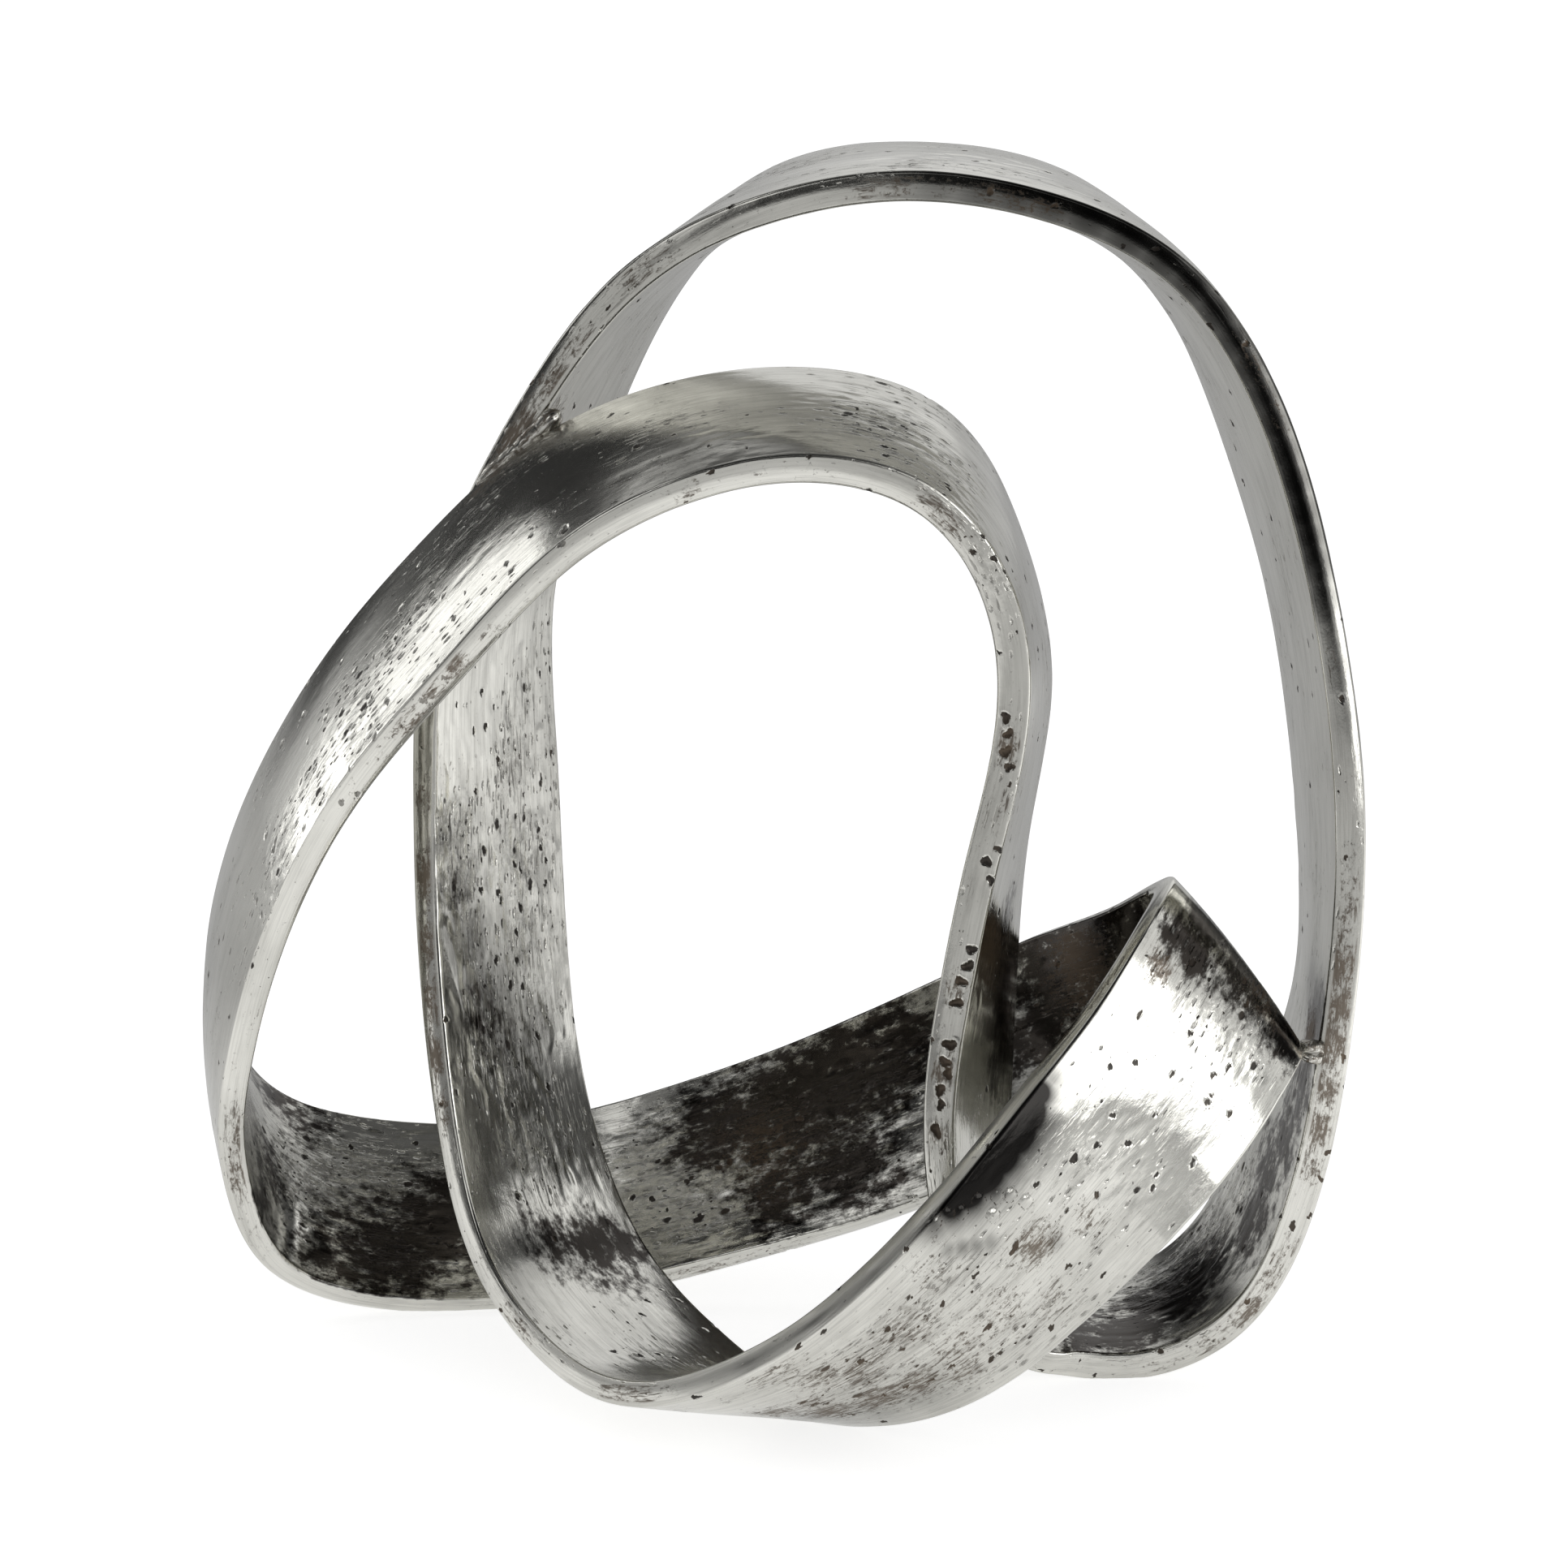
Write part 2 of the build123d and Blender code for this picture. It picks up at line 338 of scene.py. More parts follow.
front_lean = along_route(FRONT_LEANS)[:, 0]
back_lean = along_route(BACK_LEANS)[:, 0]
front_lean, back_lean = eased(front_lean, -back_lean), eased(back_lean, -front_lean)
crowns = along_route(FACE_CROWNS)[:, 0]
crown = eased(crowns, crowns)[:, None]
half_edge = along_route(EDGE_HEIGHTS) / 2
side_a = flat_a * (BAND_WIDTH / 2 - CORNER_RADIUS) + arc_a * CORNER_RADIUS
side_a = side_a + np.where(on_edge, flat_a * EDGE_CROWN * (1 - flat_t**2), 0.0)
side_t = flat_t * (half_edge - CORNER_RADIUS) + arc_t * CORNER_RADIUS
side_t = side_t + np.where(on_face, flat_t * (1 - flat_a**2), 0.0) * crown
out = arc_a[None, :, None] * width[:, None] + arc_t[None, :, None] * face[:, None]
rolled = np.clip((ROLL_WIDTH - BAND_WIDTH / 2 - side_a) / ROLL_WIDTH, 0.0, 1.0) ** 2
turned_out = np.clip((TURN_WIDTH - BAND_WIDTH / 2 + side_a) / TURN_WIDTH, 0.0, 1.0) ** 2
side_t = side_t + SWEEP_SIDE * (along_route(LOWER_TURNS) * turned_out - along_route(UPPER_ROLLS) * rolled)
front_share = (1 + flat_a) / 2
side_t = side_t + front_share * front_lean[:, None] + (1 - front_share) * back_lean[:, None]
base = middle[:, None] + side_a[None, :, None] * width[:, None] + side_t[..., None] * face[:, None]
mean_t = side_t.mean(axis=0)
around_steps = np.hypot(np.diff(side_a, append=side_a[0]), np.diff(mean_t, append=mean_t[0]))
around = np.concatenate([[0.0], np.cumsum(around_steps)])
perimeter = around[-1]
around = around[:-1]

# Place in the band for the lengthwise patterns: its one jump is in the weld behind the front drop
SEAM_STATION = 21
turned = ring_s < marks[SEAM_STATION]
along = np.where(turned, ring_s + lap_length, ring_s) - marks[SEAM_STATION]
turn_sign = np.where(turned, -1.0, 1.0)
band_place = np.stack([
    np.broadcast_to(along[:, None], grid),
    turn_sign[:, None] * side_a[None, :],
    turn_sign[:, None] * side_t,
], axis=-1)

# Waves and dimples of the sand-cast, hand-ground surface
lift = np.zeros(grid)
face_share = np.where(on_face, 1.0, EDGE_WAVES)
for seed, (length, height) in enumerate(WAVE_HEIGHTS):
    lift += along_route(WAVE_SHARES) * face_share * height * gradient_noise(base / length, 10 + seed)

# Surface at a pixel of the photograph: within so many pixels, and millimetres behind the foremost point
PIXEL_REACH = 9.0
FRONT_DEPTH = 6.0
column, row, depth = photo_pixels(base)
towards = (out * (base - view_from)).sum(axis=-1) < 0


def seen_at(x, y):
    # ring and outline number of the surface seen at a pixel of the photograph
    near = towards & (np.hypot(column - x, row - y) < PIXEL_REACH)
    rings, numbers = np.nonzero(near)
    if len(rings) == 0:
        return None
    depths = depth[rings, numbers]
    front = depths < depths.min() + FRONT_DEPTH
    rings, numbers = rings[front], numbers[front]
    best = np.argmin(np.hypot(column[rings, numbers] - x, row[rings, numbers] - y))
    return rings[best], numbers[best]


# Pits: raggedness of their outline, and shares of their radius where the wall, the rim and the dirt lie
PIT_RAGGED = (0.22, 0.18)
PIT_WALL = (0.45, 1.0)
PIT_RIM = 1.2
PIT_RIM_WIDTH = 0.25
PIT_RIM_HEIGHT = 0.16
PIT_DIRT = (0.70, 1.20)
PIT_ROWS = 2.0
PIT_WINDOW = 2.2
cavity = np.zeros(grid)


def press_pit(ring, number, length, breadth, depth, lean, seed):
    # one gas pit: an uneven hollow with a low raised rim
    reach = max(length, breadth)
    span = int(PIT_ROWS * reach / ring_step) + 2
    rows = np.arange(max(ring - span, 0), min(ring + span + 1, ring_count))
    du = ((rows - ring) * ring_step)[:, None]
    dv = ((around - around[number] + perimeter / 2) % perimeter - perimeter / 2)[None, :]
    numbers = np.nonzero(np.abs(dv[0]) < PIT_WINDOW * reach)[0]
    dv = dv[:, numbers]
    u = math.cos(lean) * du + math.sin(lean) * dv
    v = math.cos(lean) * dv - math.sin(lean) * du
    angle = np.arctan2(v / breadth, u / length)
    ragged = 1 + PIT_RAGGED[0] * np.sin(2 * angle + seed) + PIT_RAGGED[1] * np.sin(3 * angle + 2.3 * seed)
    r = np.hypot(u / length, v / breadth) / ragged
    rim = PIT_RIM_HEIGHT * np.exp(-((r - PIT_RIM) / PIT_RIM_WIDTH) ** 2)
    window = np.ix_(rows, numbers)
    lift[window] += depth * (rim - 1 + smooth(r, *PIT_WALL))
    cavity[window] = np.maximum(cavity[window], 1 - smooth(r, *PIT_DIRT))


# Pits seen in the photograph: pixel, half length along the band and half breadth
PITS_SEEN = [
    # left arch
    (516, 697, 1.4, 0.9), (532, 732, 1.0, 0.8), (546, 733, 0.9, 0.8), (494, 748, 1.2, 0.8),
    (487, 787, 1.0, 0.8), (461, 809, 0.9, 0.8), (438, 825, 0.8, 0.8), (484, 798, 0.9, 0.7),
    (422, 815, 0.8, 0.8), (401, 885, 1.2, 0.9), (421, 877, 0.9, 0.8), (379, 913, 1.1, 0.8),
    (338, 1036, 1.4, 0.9), (370, 963, 1.0, 0.8), (457, 895, 1.0, 0.7), (562, 820, 2.4, 0.9),
    (533, 853, 1.6, 0.9), (521, 864, 1.2, 0.8), (441, 978, 1.3, 0.9), (421, 989, 1.2, 0.8),
    # front drop
    (614, 937, 1.7, 1.0), (584, 900, 1.3, 0.8), (586, 975, 1.1, 0.8), (633, 774, 1.0, 0.7),
    (624, 789, 0.9, 0.7), (665, 831, 1.3, 0.7), (678, 825, 1.2, 0.7), (666, 956, 1.2, 0.7),
    (678, 928, 1.4, 0.7), (663, 1023, 1.3, 0.8), (666, 1045, 1.4, 0.8), (672, 1059, 1.2, 0.8),
    (634, 1065, 1.3, 0.8), (641, 1069, 1.2, 0.8), (672, 1087, 1.3, 0.8), (652, 1093, 1.5, 0.8),
    (593, 1098, 1.3, 0.9), (641, 1118, 2.0, 1.0), (636, 1149, 1.5, 0.9), (618, 1138, 1.3, 0.8),
    (618, 1110, 1.3, 0.8), (611, 1183, 1.4, 0.9), (636, 1185, 1.4, 0.9), (645, 1215, 1.4, 0.9),
    (662, 1275, 1.4, 0.9),
    # front sweep
    (1404, 1251, 1.7, 0.8), (1444, 1324, 1.1, 0.9), (1372, 1374, 1.0, 0.9), (1390, 1410, 1.2, 1.0),
    (1324, 1429, 2.1, 1.1), (1351, 1472, 1.2, 0.9), (1421, 1464, 1.1, 0.8), (1426, 1447, 1.1, 0.8),
    (1494, 1326, 1.1, 0.8), (1467, 1274, 1.0, 0.9), (1488, 1357, 1.1, 0.9), (1515, 1374, 1.0, 0.8),
    (1250, 1537, 2.4, 1.2), (1202, 1572, 1.4, 0.9), (1315, 1560, 1.3, 0.9), (1216, 1635, 1.9, 0.9),
    (1296, 1634, 1.3, 0.9), (1093, 1637, 1.4, 0.9), (1161, 1607, 1.1, 0.9), (1173, 1683, 1.3, 0.9),
    (1146, 1700, 1.2, 0.8), (1116, 1709, 1.1, 0.8), (1088, 1718, 1.1, 0.8), (982, 1660, 1.2, 0.8),
    (990, 1727, 1.6, 0.9), (1004, 1730, 1.8, 0.9), (1018, 1728, 1.2, 0.8), (1278, 1461, 1.2, 0.9),
    # inner leg, front edge
    (1179, 1235, 2.0, 1.7), (1171, 1287, 2.1, 1.8), (1163, 1308, 1.8, 1.6), (1169, 1324, 1.7, 1.5),
    (1158, 1342, 1.7, 1.6), (1159, 1360, 1.5, 1.3), (1193, 1189, 2.0, 1.6), (1197, 1170, 1.8, 1.4),
    (1184, 1209, 1.9, 1.6), (1153, 1394, 2.0, 1.6), (1240, 885, 2.0, 1.5), (1243, 905, 1.8, 1.5),
    (1238, 925, 2.2, 1.7), (1243, 945, 1.7, 1.4), (1215, 1060, 1.8, 1.4), (1221, 1085, 1.6, 1.3),
    # right leg and right foot, edges
    (1595, 1508, 1.0, 0.8), (1614, 1498, 1.0, 0.8), (1537, 1605, 1.2, 0.8), (1652, 860, 1.3, 0.7),
]
PIT_SHARE = 0.74
PIT_LEAN = 0.3
PIT_DEPTH = 0.45
for number, (x, y, length, breadth) in enumerate(PITS_SEEN):
    spot = seen_at(x, y)
    if spot is not None:
        length *= PIT_SHARE
        breadth *= PIT_SHARE
        press_pit(*spot, length, breadth, PIT_DEPTH * breadth, rng.uniform(-PIT_LEAN, PIT_LEAN), number)

# Pits elsewhere, thicker in some patches than in others
LOOSE_PITS = 1400
LOOSE_LENGTHS = (0.45, 1.1)
LOOSE_BREADTHS = (0.5, 0.9)
LOOSE_LEAN = 0.4
LOOSE_DEPTH = 0.36
LOOSE_PATCH = 40.0
LOOSE_SPREAD = 0.45
END_RINGS = 8
for number in range(LOOSE_PITS):
    ring = int(rng.integers(END_RINGS, ring_count - END_RINGS))
    spot = int(rng.integers(0, ring_size))
    length = rng.uniform(*LOOSE_LENGTHS)
    breadth = length * rng.uniform(*LOOSE_BREADTHS)
    lean = rng.normal(0.0, LOOSE_LEAN)
    patch = gradient_noise(base[ring, spot][None] / LOOSE_PATCH, 77)[0]
    if rng.uniform(-LOOSE_SPREAD, LOOSE_SPREAD) < patch:
        press_pit(ring, spot, length, breadth, LOOSE_DEPTH * breadth, lean, number)

# Blisters of the cast skin seen on the front sweep
BLISTERS_SEEN = [
    (1184, 1492), (1206, 1480), (1166, 1496), (1231, 1475), (1245, 1474), (1263, 1480), (1223, 1498),
    (1150, 1508),
]
BLISTER_RADIUS = 1.7
BLISTER_HEIGHT = 0.20
BLISTER_TOP = (0.45, 1.0)
BLISTER_SIDE = 0.5
BLISTER_DIRT = 0.5
BLISTER_RING = 1.1
BLISTER_RING_WIDTH = 0.2
for x, y in BLISTERS_SEEN:
    spot = seen_at(x, y)
    if spot is not None:
        r = np.linalg.norm(base - base[spot], axis=-1) / BLISTER_RADIUS
        same_side = (out * out[spot]).sum(axis=-1) > BLISTER_SIDE
        lift += BLISTER_HEIGHT * same_side * (1 - smooth(r, *BLISTER_TOP))
        dirty_ring = np.exp(-((r - BLISTER_RING) / BLISTER_RING_WIDTH) ** 2)
        cavity = np.maximum(cavity, BLISTER_DIRT * same_side * dirty_ring)

# Marks seen in the photograph: pixel, radius in millimetres and strength
STAINS_SEEN = [
    # left arch, front edge
    (562, 820, 6, 0.8), (533, 850, 5, 0.7), (470, 930, 6, 0.4), (600, 775, 6, 0.4),
    # outer arch, front edge above the crossing
    (640, 550, 14, 0.9), (600, 590, 9, 0.9), (670, 520, 8, 0.9), (690, 475, 8, 0.8), (720, 430, 9, 0.6),
    (850, 605, 7, 0.5), (1170, 230, 10, 0.4), (1560, 520, 9, 0.4),
    # front drop, left edge
    (523, 900, 8, 0.8), (522, 980, 8, 0.7), (521, 1080, 9, 0.95), (524, 1160, 9, 0.95),
    (530, 1230, 9, 0.95), (537, 1300, 8, 0.9), (548, 1370, 7, 0.7),
    # front foot and front sweep
    (960, 1690, 10, 0.6), (1000, 1728, 8, 0.7), (1010, 1700, 10, 0.65), (1060, 1690, 12, 0.6),
    (1120, 1640, 12, 0.6), (1180, 1660, 12, 0.6), (1230, 1620, 12, 0.55), (1290, 1600, 10, 0.5),
    (1150, 1570, 10, 0.45), (1340, 1500, 7, 0.6), (1275, 1535, 8, 0.8), (1430, 1190, 6, 0.9),
    (960, 1742, 8, 0.8), (1020, 1738, 9, 0.8), (1080, 1722, 9, 0.75), (1130, 1702, 9, 0.7),
    (1185, 1688, 8, 0.65),
    # back band and fold
    (940, 1420, 16, 0.7), (1330, 1180, 18, 0.9), (1560, 1230, 9, 0.8), (1612, 1275, 7, 1.0),
    # inner leg, front edge
    (1240, 920, 6, 0.7), (1165, 1320, 8, 0.7), (1180, 1220, 6, 0.7), (1155, 1400, 6, 0.6),
    # right leg and right foot, front edge
    (1622, 1390, 9, 0.9), (1632, 1340, 8, 0.9), (1640, 1290, 9, 0.95), (1648, 1240, 8, 0.9),
    (1652, 1195, 9, 0.9), (1657, 1130, 8, 0.6), (1612, 1440, 7, 0.7), (1600, 1540, 7, 0.6),
    (1540, 1615, 7, 0.8), (1500, 1660, 8, 0.5), (1430, 1690, 8, 0.4),
]
# Dark tarnish that the buffing wheel didn't reach, partly painted shade: the marks also darken recesses and
# faces that mirror dark surroundings
TARNISH_AND_SHADE_SEEN = [
    # back band and the inside of the fold
    (890, 1385, 18, 0.9), (960, 1370, 22, 1.0), (1030, 1330, 22, 1.0), (1100, 1300, 20, 0.9),
    (960, 1470, 14, 0.9), (1050, 1430, 18, 0.9), (1300, 1200, 22, 1.0), (1350, 1160, 20, 1.0),
    (1390, 1130, 14, 0.9), (1285, 1265, 16, 0.9),
    # left foot
    (330, 1440, 14, 0.6), (318, 1400, 12, 0.5), (322, 1475, 12, 0.7), (420, 1500, 16, 0.5),
    (480, 1540, 20, 0.9), (545, 1510, 18, 1.0), (400, 1550, 14, 0.7),
    # right foot and inner leg
    (1340, 1650, 12, 0.9), (1380, 1640, 16, 0.95), (1440, 1600, 18, 1.0), (1490, 1560, 14, 0.7),
    (1545, 1500, 14, 0.8), (1560, 1440, 14, 0.8), (1585, 1400, 13, 0.8), (1602, 1340, 12, 0.8),
    (1618, 1270, 12, 0.9), (1245, 1130, 10, 0.7), (1238, 1230, 12, 0.8), (1228, 1320, 10, 0.7),
    # front drop and fold
    (690, 1535, 13, 0.7), (745, 1560, 13, 0.7), (1540, 1210, 11, 1.0), (1495, 1145, 10, 0.9),
    (1580, 1275, 9, 0.9), (560, 1100, 8, 0.4), (600, 1260, 12, 0.5),
    # fold, front drop and left foot
    (1480, 1175, 9, 0.9), (1455, 1148, 9, 0.8), (735, 1534, 11, 1.0), (765, 1532, 9, 0.95),
    (350, 1352, 12, 0.75), (330, 1340, 10, 0.7), (368, 1375, 12, 0.7),
]
# Painted shade: an even dark colour that stands in for dark reflections and shadow on the front sweep's
# upper edge and below it, the underside of the front foot, the front drop and the right leg
PAINTED_SHADE_SEEN = [
    (1152, 1507, 5, 0.8), (1172, 1485, 6, 1.2), (1191, 1463, 8, 1.4), (1210, 1440, 9, 1.5),
    (1229, 1418, 9, 1.5), (1248, 1393, 9, 1.5), (1266, 1369, 8, 1.4), (1282, 1347, 6, 1.2),
    (1296, 1328, 5, 0.8), (1168, 1541, 2.5, 0.5), (1185, 1538, 2.5, 0.6), (1202, 1535, 2.5, 0.6),
    (1219, 1532, 2.5, 0.5), (1298, 1530, 2.5, 0.4), (985, 1753, 14, 0.45), (1030, 1752, 14, 0.45),
    (1080, 1742, 12, 0.40), (1135, 1722, 10, 0.35), (562, 1105, 8, 0.45), (578, 1165, 11, 0.60),
    (598, 1225, 13, 0.65), (622, 1285, 13, 0.60), (652, 1290, 11, 0.55), (640, 1340, 11, 0.45),
    (1623, 1262, 7, 1.0), (1619, 1238, 8, 0.9), (1613, 1212, 8, 0.6),
    # outer arch, front edge and the outer corner beside it: painted shade that dims their reflections
    (1160, 228, 12, 0.65), (1215, 233, 14, 0.80), (1255, 237, 14, 0.88), (1296, 245, 14, 0.90),
    (1345, 264, 14, 0.92), (1391, 289, 14, 0.92), (1434, 317, 14, 0.92), (1472, 347, 14, 0.92),
    (1500, 384, 14, 0.92), (1523, 420, 14, 0.92), (1542, 452, 14, 0.92), (1559, 486, 14, 0.92),
    (1570, 522, 14, 0.92), (1581, 559, 14, 0.92), (1592, 595, 14, 0.92), (1603, 632, 14, 0.92),
    (1611, 660, 13, 0.90), (1618, 691, 12, 0.88), (1626, 735, 9, 0.75), (1627, 647, 9, 0.5),
    (1649, 735, 9, 0.5), (1663, 822, 9, 0.5), (1670, 881, 9, 0.4),
    # front drop, left corner: painted shade that dims its highlight
    (541, 1040, 5, 0.5), (543, 1100, 5, 0.5), (546, 1160, 5, 0.5), (549, 1220, 5, 0.5), (553, 1280, 5, 0.5),
]
# Edges ground with a coarse wheel, so that they mirror less sharply
MATTE_SEEN = [
    (884, 1695, 12, 1.0), (960, 1657, 12, 1.0), (1041, 1595, 12, 1.0), (1103, 1535, 12, 1.0),
    (1177, 1453, 12, 1.0), (1251, 1360, 12, 0.9),
]
# Rough cast skin: hammered-looking, with dents and gas pits
ROUGH_SEEN = [
    # left arch
    (500, 800, 14, 0.35), (440, 900, 16, 0.5), (400, 980, 16, 0.55), (350, 1060, 16, 0.6),
    (330, 1130, 14, 0.5),
    # front drop
    (560, 1020, 9, 1.0), (565, 1080, 10, 1.0), (575, 1150, 10, 0.9), (590, 1220, 10, 0.8),
    (600, 1290, 10, 0.7), (640, 880, 12, 0.5), (640, 960, 14, 0.7), (650, 1060, 16, 0.9),
    (650, 1150, 14, 0.9), (670, 1240, 12, 0.8), (640, 1330, 14, 0.6), (660, 1400, 14, 0.6),
    # front foot and front sweep
    (1060, 1690, 12, 0.6), (1120, 1640, 14, 0.7), (1200, 1570, 14, 0.6), (1230, 1640, 14, 0.6),
    (1340, 1430, 12, 0.6), (1400, 1450, 12, 0.5), (1430, 1190, 5, 0.9), (1520, 1250, 14, 0.8),
    (1550, 1290, 10, 0.8), (1470, 1160, 10, 0.5),
    # back band
    (800, 1420, 14, 0.8), (850, 1450, 18, 1.0), (900, 1400, 16, 0.9), (960, 1440, 16, 0.9),
    (1040, 1400, 18, 0.8), (1090, 1340, 16, 0.7),
    # left foot
    (360, 1440, 14, 0.8), (420, 1460, 18, 0.9), (480, 1530, 16, 0.9),
    # inner arch and crown
    (1100, 520, 16, 0.6), (1180, 580, 12, 0.7), (1230, 700, 12, 0.6), (1150, 195, 12, 0.6),
    (1220, 200, 12, 0.6),
    # right foot
    (1430, 1580, 16, 0.9), (1480, 1530, 14, 0.8), (1530, 1460, 12, 0.6),
]


# Cosines between which a mark fades where the surface turns away from it
SAME_SIDE = (0.2, 0.7)


def spread(marks_seen):
    # share of the surface near each mark, on the side that it is seen on
    share = np.zeros(grid)
    for x, y, radius, strength in marks_seen:
        spot = seen_at(x, y)
        if spot is not None:
            away = ((base - base[spot]) ** 2).sum(axis=-1)
            same_side = smooth((out * out[spot]).sum(axis=-1), *SAME_SIDE)
            share = np.maximum(share, strength * same_side * np.exp(-away / radius**2))
    return share


stain = spread(STAINS_SEEN)
# tarnish, partly painted shade of recesses and of faces that mirror dark parts
tarnish_and_shade = spread(TARNISH_AND_SHADE_SEEN)
rough = spread(ROUGH_SEEN)
matte = spread(MATTE_SEEN)
# painted shade: a dark colour that stands in for dark reflections and shadow
painted_shade = spread(PAINTED_SHADE_SEEN)
streaky = np.broadcast_to(along_route(STREAK_SHARES), grid)

# Dents of the cast skin, longer than wide: length, breadth and depth in millimetres
DENTS = [(7.0, 2.4, 0.24), (13.0, 4.6, 0.30)]
DENT_LEAST = 0.35
DENT_PATCH = 30.0
DENT_RANGE = (0.02, 0.40)
PATCH_RANGE = (-0.25, 0.35)
SEAM_FADE = (4.0, 14.0)
seam_fade = smooth(np.minimum(along, lap_length - along), *SEAM_FADE)[:, None]
dent_patches = smooth(gradient_noise(base / DENT_PATCH, 83), *PATCH_RANGE)
dented = seam_fade * face_share * streaky * np.clip(DENT_LEAST * dent_patches + rough, 0.0, 1.0)
dent = np.zeros(grid)
for seed, (long, wide, deep) in enumerate(DENTS):
    hollow = dented * smooth(gradient_noise(band_place / (long, wide, wide), 90 + seed), *DENT_RANGE)
    lift -= deep * hollow
    dent = np.maximum(dent, hollow)

# Thin patina along the edges and beside the welds
EDGE_STAIN = 0.58
EDGE_PATCH = 23.0
EDGE_RANGE = (-0.15, 0.35)
WELD_STAIN = 0.22
WELD_STAIN_WIDTH = 6.0
edge_patches = smooth(gradient_noise(base / EDGE_PATCH, 81), *EDGE_RANGE)
stain = np.maximum(stain, EDGE_STAIN * edge_patches * on_edge)
for start in [marks[station] for name, station in CASTINGS]:
    near_weld = np.abs((ring_s - start + lap_length / 2) % lap_length - lap_length / 2)
    stain = np.maximum(stain, WELD_STAIN * np.exp(-(near_weld / WELD_STAIN_WIDTH) ** 2)[:, None])

# Worn corners, and how far the wear reaches over the faces and the edges
FACE_WEAR = 1.2
EDGE_WEAR = 0.9
from_face = (1 - np.abs(flat_a)) * BAND_WIDTH / 2 / FACE_WEAR
from_edge = (1 - np.abs(flat_t)) * BAND_THICKNESS / 2 / EDGE_WEAR
corner = np.exp(-np.where(on_edge, from_edge, from_face) ** 2)
corner = np.broadcast_to(corner[None, :], grid)

# Cast surface, with the feet ground flat on the table
skin = base + lift[..., None] * out
skin[..., 2] = np.maximum(skin[..., 2], 0.0)
before = np.concatenate([np.roll(skin[-1:], half_ring, axis=1), skin[:-1]])
after = np.concatenate([skin[1:], np.roll(skin[:1], half_ring, axis=1)])
crosswise = np.roll(skin, -1, axis=1) - np.roll(skin, 1, axis=1)
normals = unit(np.cross(after - before, crosswise))

SURFACE = {
    "cavity": cavity, "stain": stain, "tarnish_and_shade": tarnish_and_shade, "rough": rough, "corner": corner, "dent": dent,
    "matte": matte, "painted_shade": painted_shade, "streaky": streaky,
}


def add_object(name, data):
    made = bpy.data.objects.new(name, data)
    bpy.context.scene.collection.objects.link(made)
    return made


def set_points(mesh, title, values, kind="FLOAT"):
    # numbers or vectors of the mesh's points, for its material
    made = mesh.attributes.new(title, kind, "POINT")
    made.data.foreach_set("value" if kind == "FLOAT" else "vector", np.ravel(values).astype(np.float32))


def add_piece(name, node, mesh, material):
    piece = add_object(name, mesh)
    mesh.materials.append(material)
    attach(piece, "root")
    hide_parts(node)


def tube_mesh(name, rings):
    # closed tube through rings of points, and the ring and outline number of each quad on its side
    m, size = rings.shape[:2]
    i, k = np.meshgrid(np.arange(m - 1), np.arange(size), indexing="ij")
    ahead = (k + 1) % size
    quads = np.stack([i * size + k, (i + 1) * size + k, (i + 1) * size + ahead, i * size + ahead], axis=-1)
    ends = [list(range(size)), list(range(m * size - 1, (m - 1) * size - 1, -1))]
    mesh = bpy.data.meshes.new(name)
    mesh.from_pydata((rings.reshape(-1, 3) * MM).tolist(), [], quads.reshape(-1, 4).tolist() + ends)
    mesh.validate()
    mesh.shade_smooth()
    return mesh, i, k


# Bake map: share of the square for the side, then the two hidden ends as discs in the strip above it
SIDE_STRIP = 0.95
END_DISC = 0.02
END_PLACES = ((0.25, 0.975), (0.75, 0.975))


def band_piece(name, node, first, last, material):
    # closed mesh of the rings from first to last, which may run past the end of the lap
    rings = np.arange(first, last + 1)
    over = rings >= ring_count
    pick = (np.arange(ring_size)[None, :] + np.where(over, half_ring, 0)[:, None]) % ring_size
    rings = (rings % ring_count)[:, None]
    m = len(rings)
    mesh, i, k = tube_mesh(name, skin[rings, pick])
    mesh.normals_split_custom_set_from_vertices(normals[rings, pick].reshape(-1, 3))
    set_points(mesh, "band", band_place[rings, pick], "FLOAT_VECTOR")
    for title, values in SURFACE.items():
        set_points(mesh, title, values[rings, pick])
    corner_u = np.array([0, 1, 1, 0])
    corner_v = np.array([0, 0, 1, 1])
    side_u = (i[..., None] + corner_u) / (m - 1)
    side_v = SIDE_STRIP * (k[..., None] + corner_v) / ring_size
    sides = np.stack([side_u, side_v], axis=-1).reshape(-1, 2)
    angle = 2 * np.pi * np.arange(ring_size) / ring_size
    disc = END_DISC * np.stack([np.cos(angle), np.sin(angle)], axis=1)
    uv = np.concatenate([sides, disc + END_PLACES[0], disc[::-1] + END_PLACES[1]])
    layer = mesh.uv_layers.new(name="OFBake")
    layer.data.foreach_set("uv", uv.ravel().astype(np.float32))
    add_piece(name, node, mesh, material)


# Material nodes
def new_material(name):
    material = bpy.data.materials.new(name)
    material.use_nodes = True
    return material, material.node_tree


def socket(target, value):
    if isinstance(value, bpy.types.NodeSocket):
        target.id_data.links.new(value, target)
    else:
        target.default_value = value


def node(tree, kind, **inputs):
    made = tree.nodes.new(kind)
    for name, value in inputs.items():
        socket(made.inputs[name], value)
    return made


def attribute(tree, name, output):
    made = tree.nodes.new("ShaderNodeAttribute")
    made.attribute_name = name
    return made.outputs[output]


def joined(kind, operation, first, second):
    # node of one operation on two values, in the tree of the one that is a socket
    tree = next(value.id_data for value in (first, second) if isinstance(value, bpy.types.NodeSocket))
    made = tree.nodes.new(kind)
    made.operation = operation
    socket(made.inputs[0], first)
    socket(made.inputs[1], second)
    return made


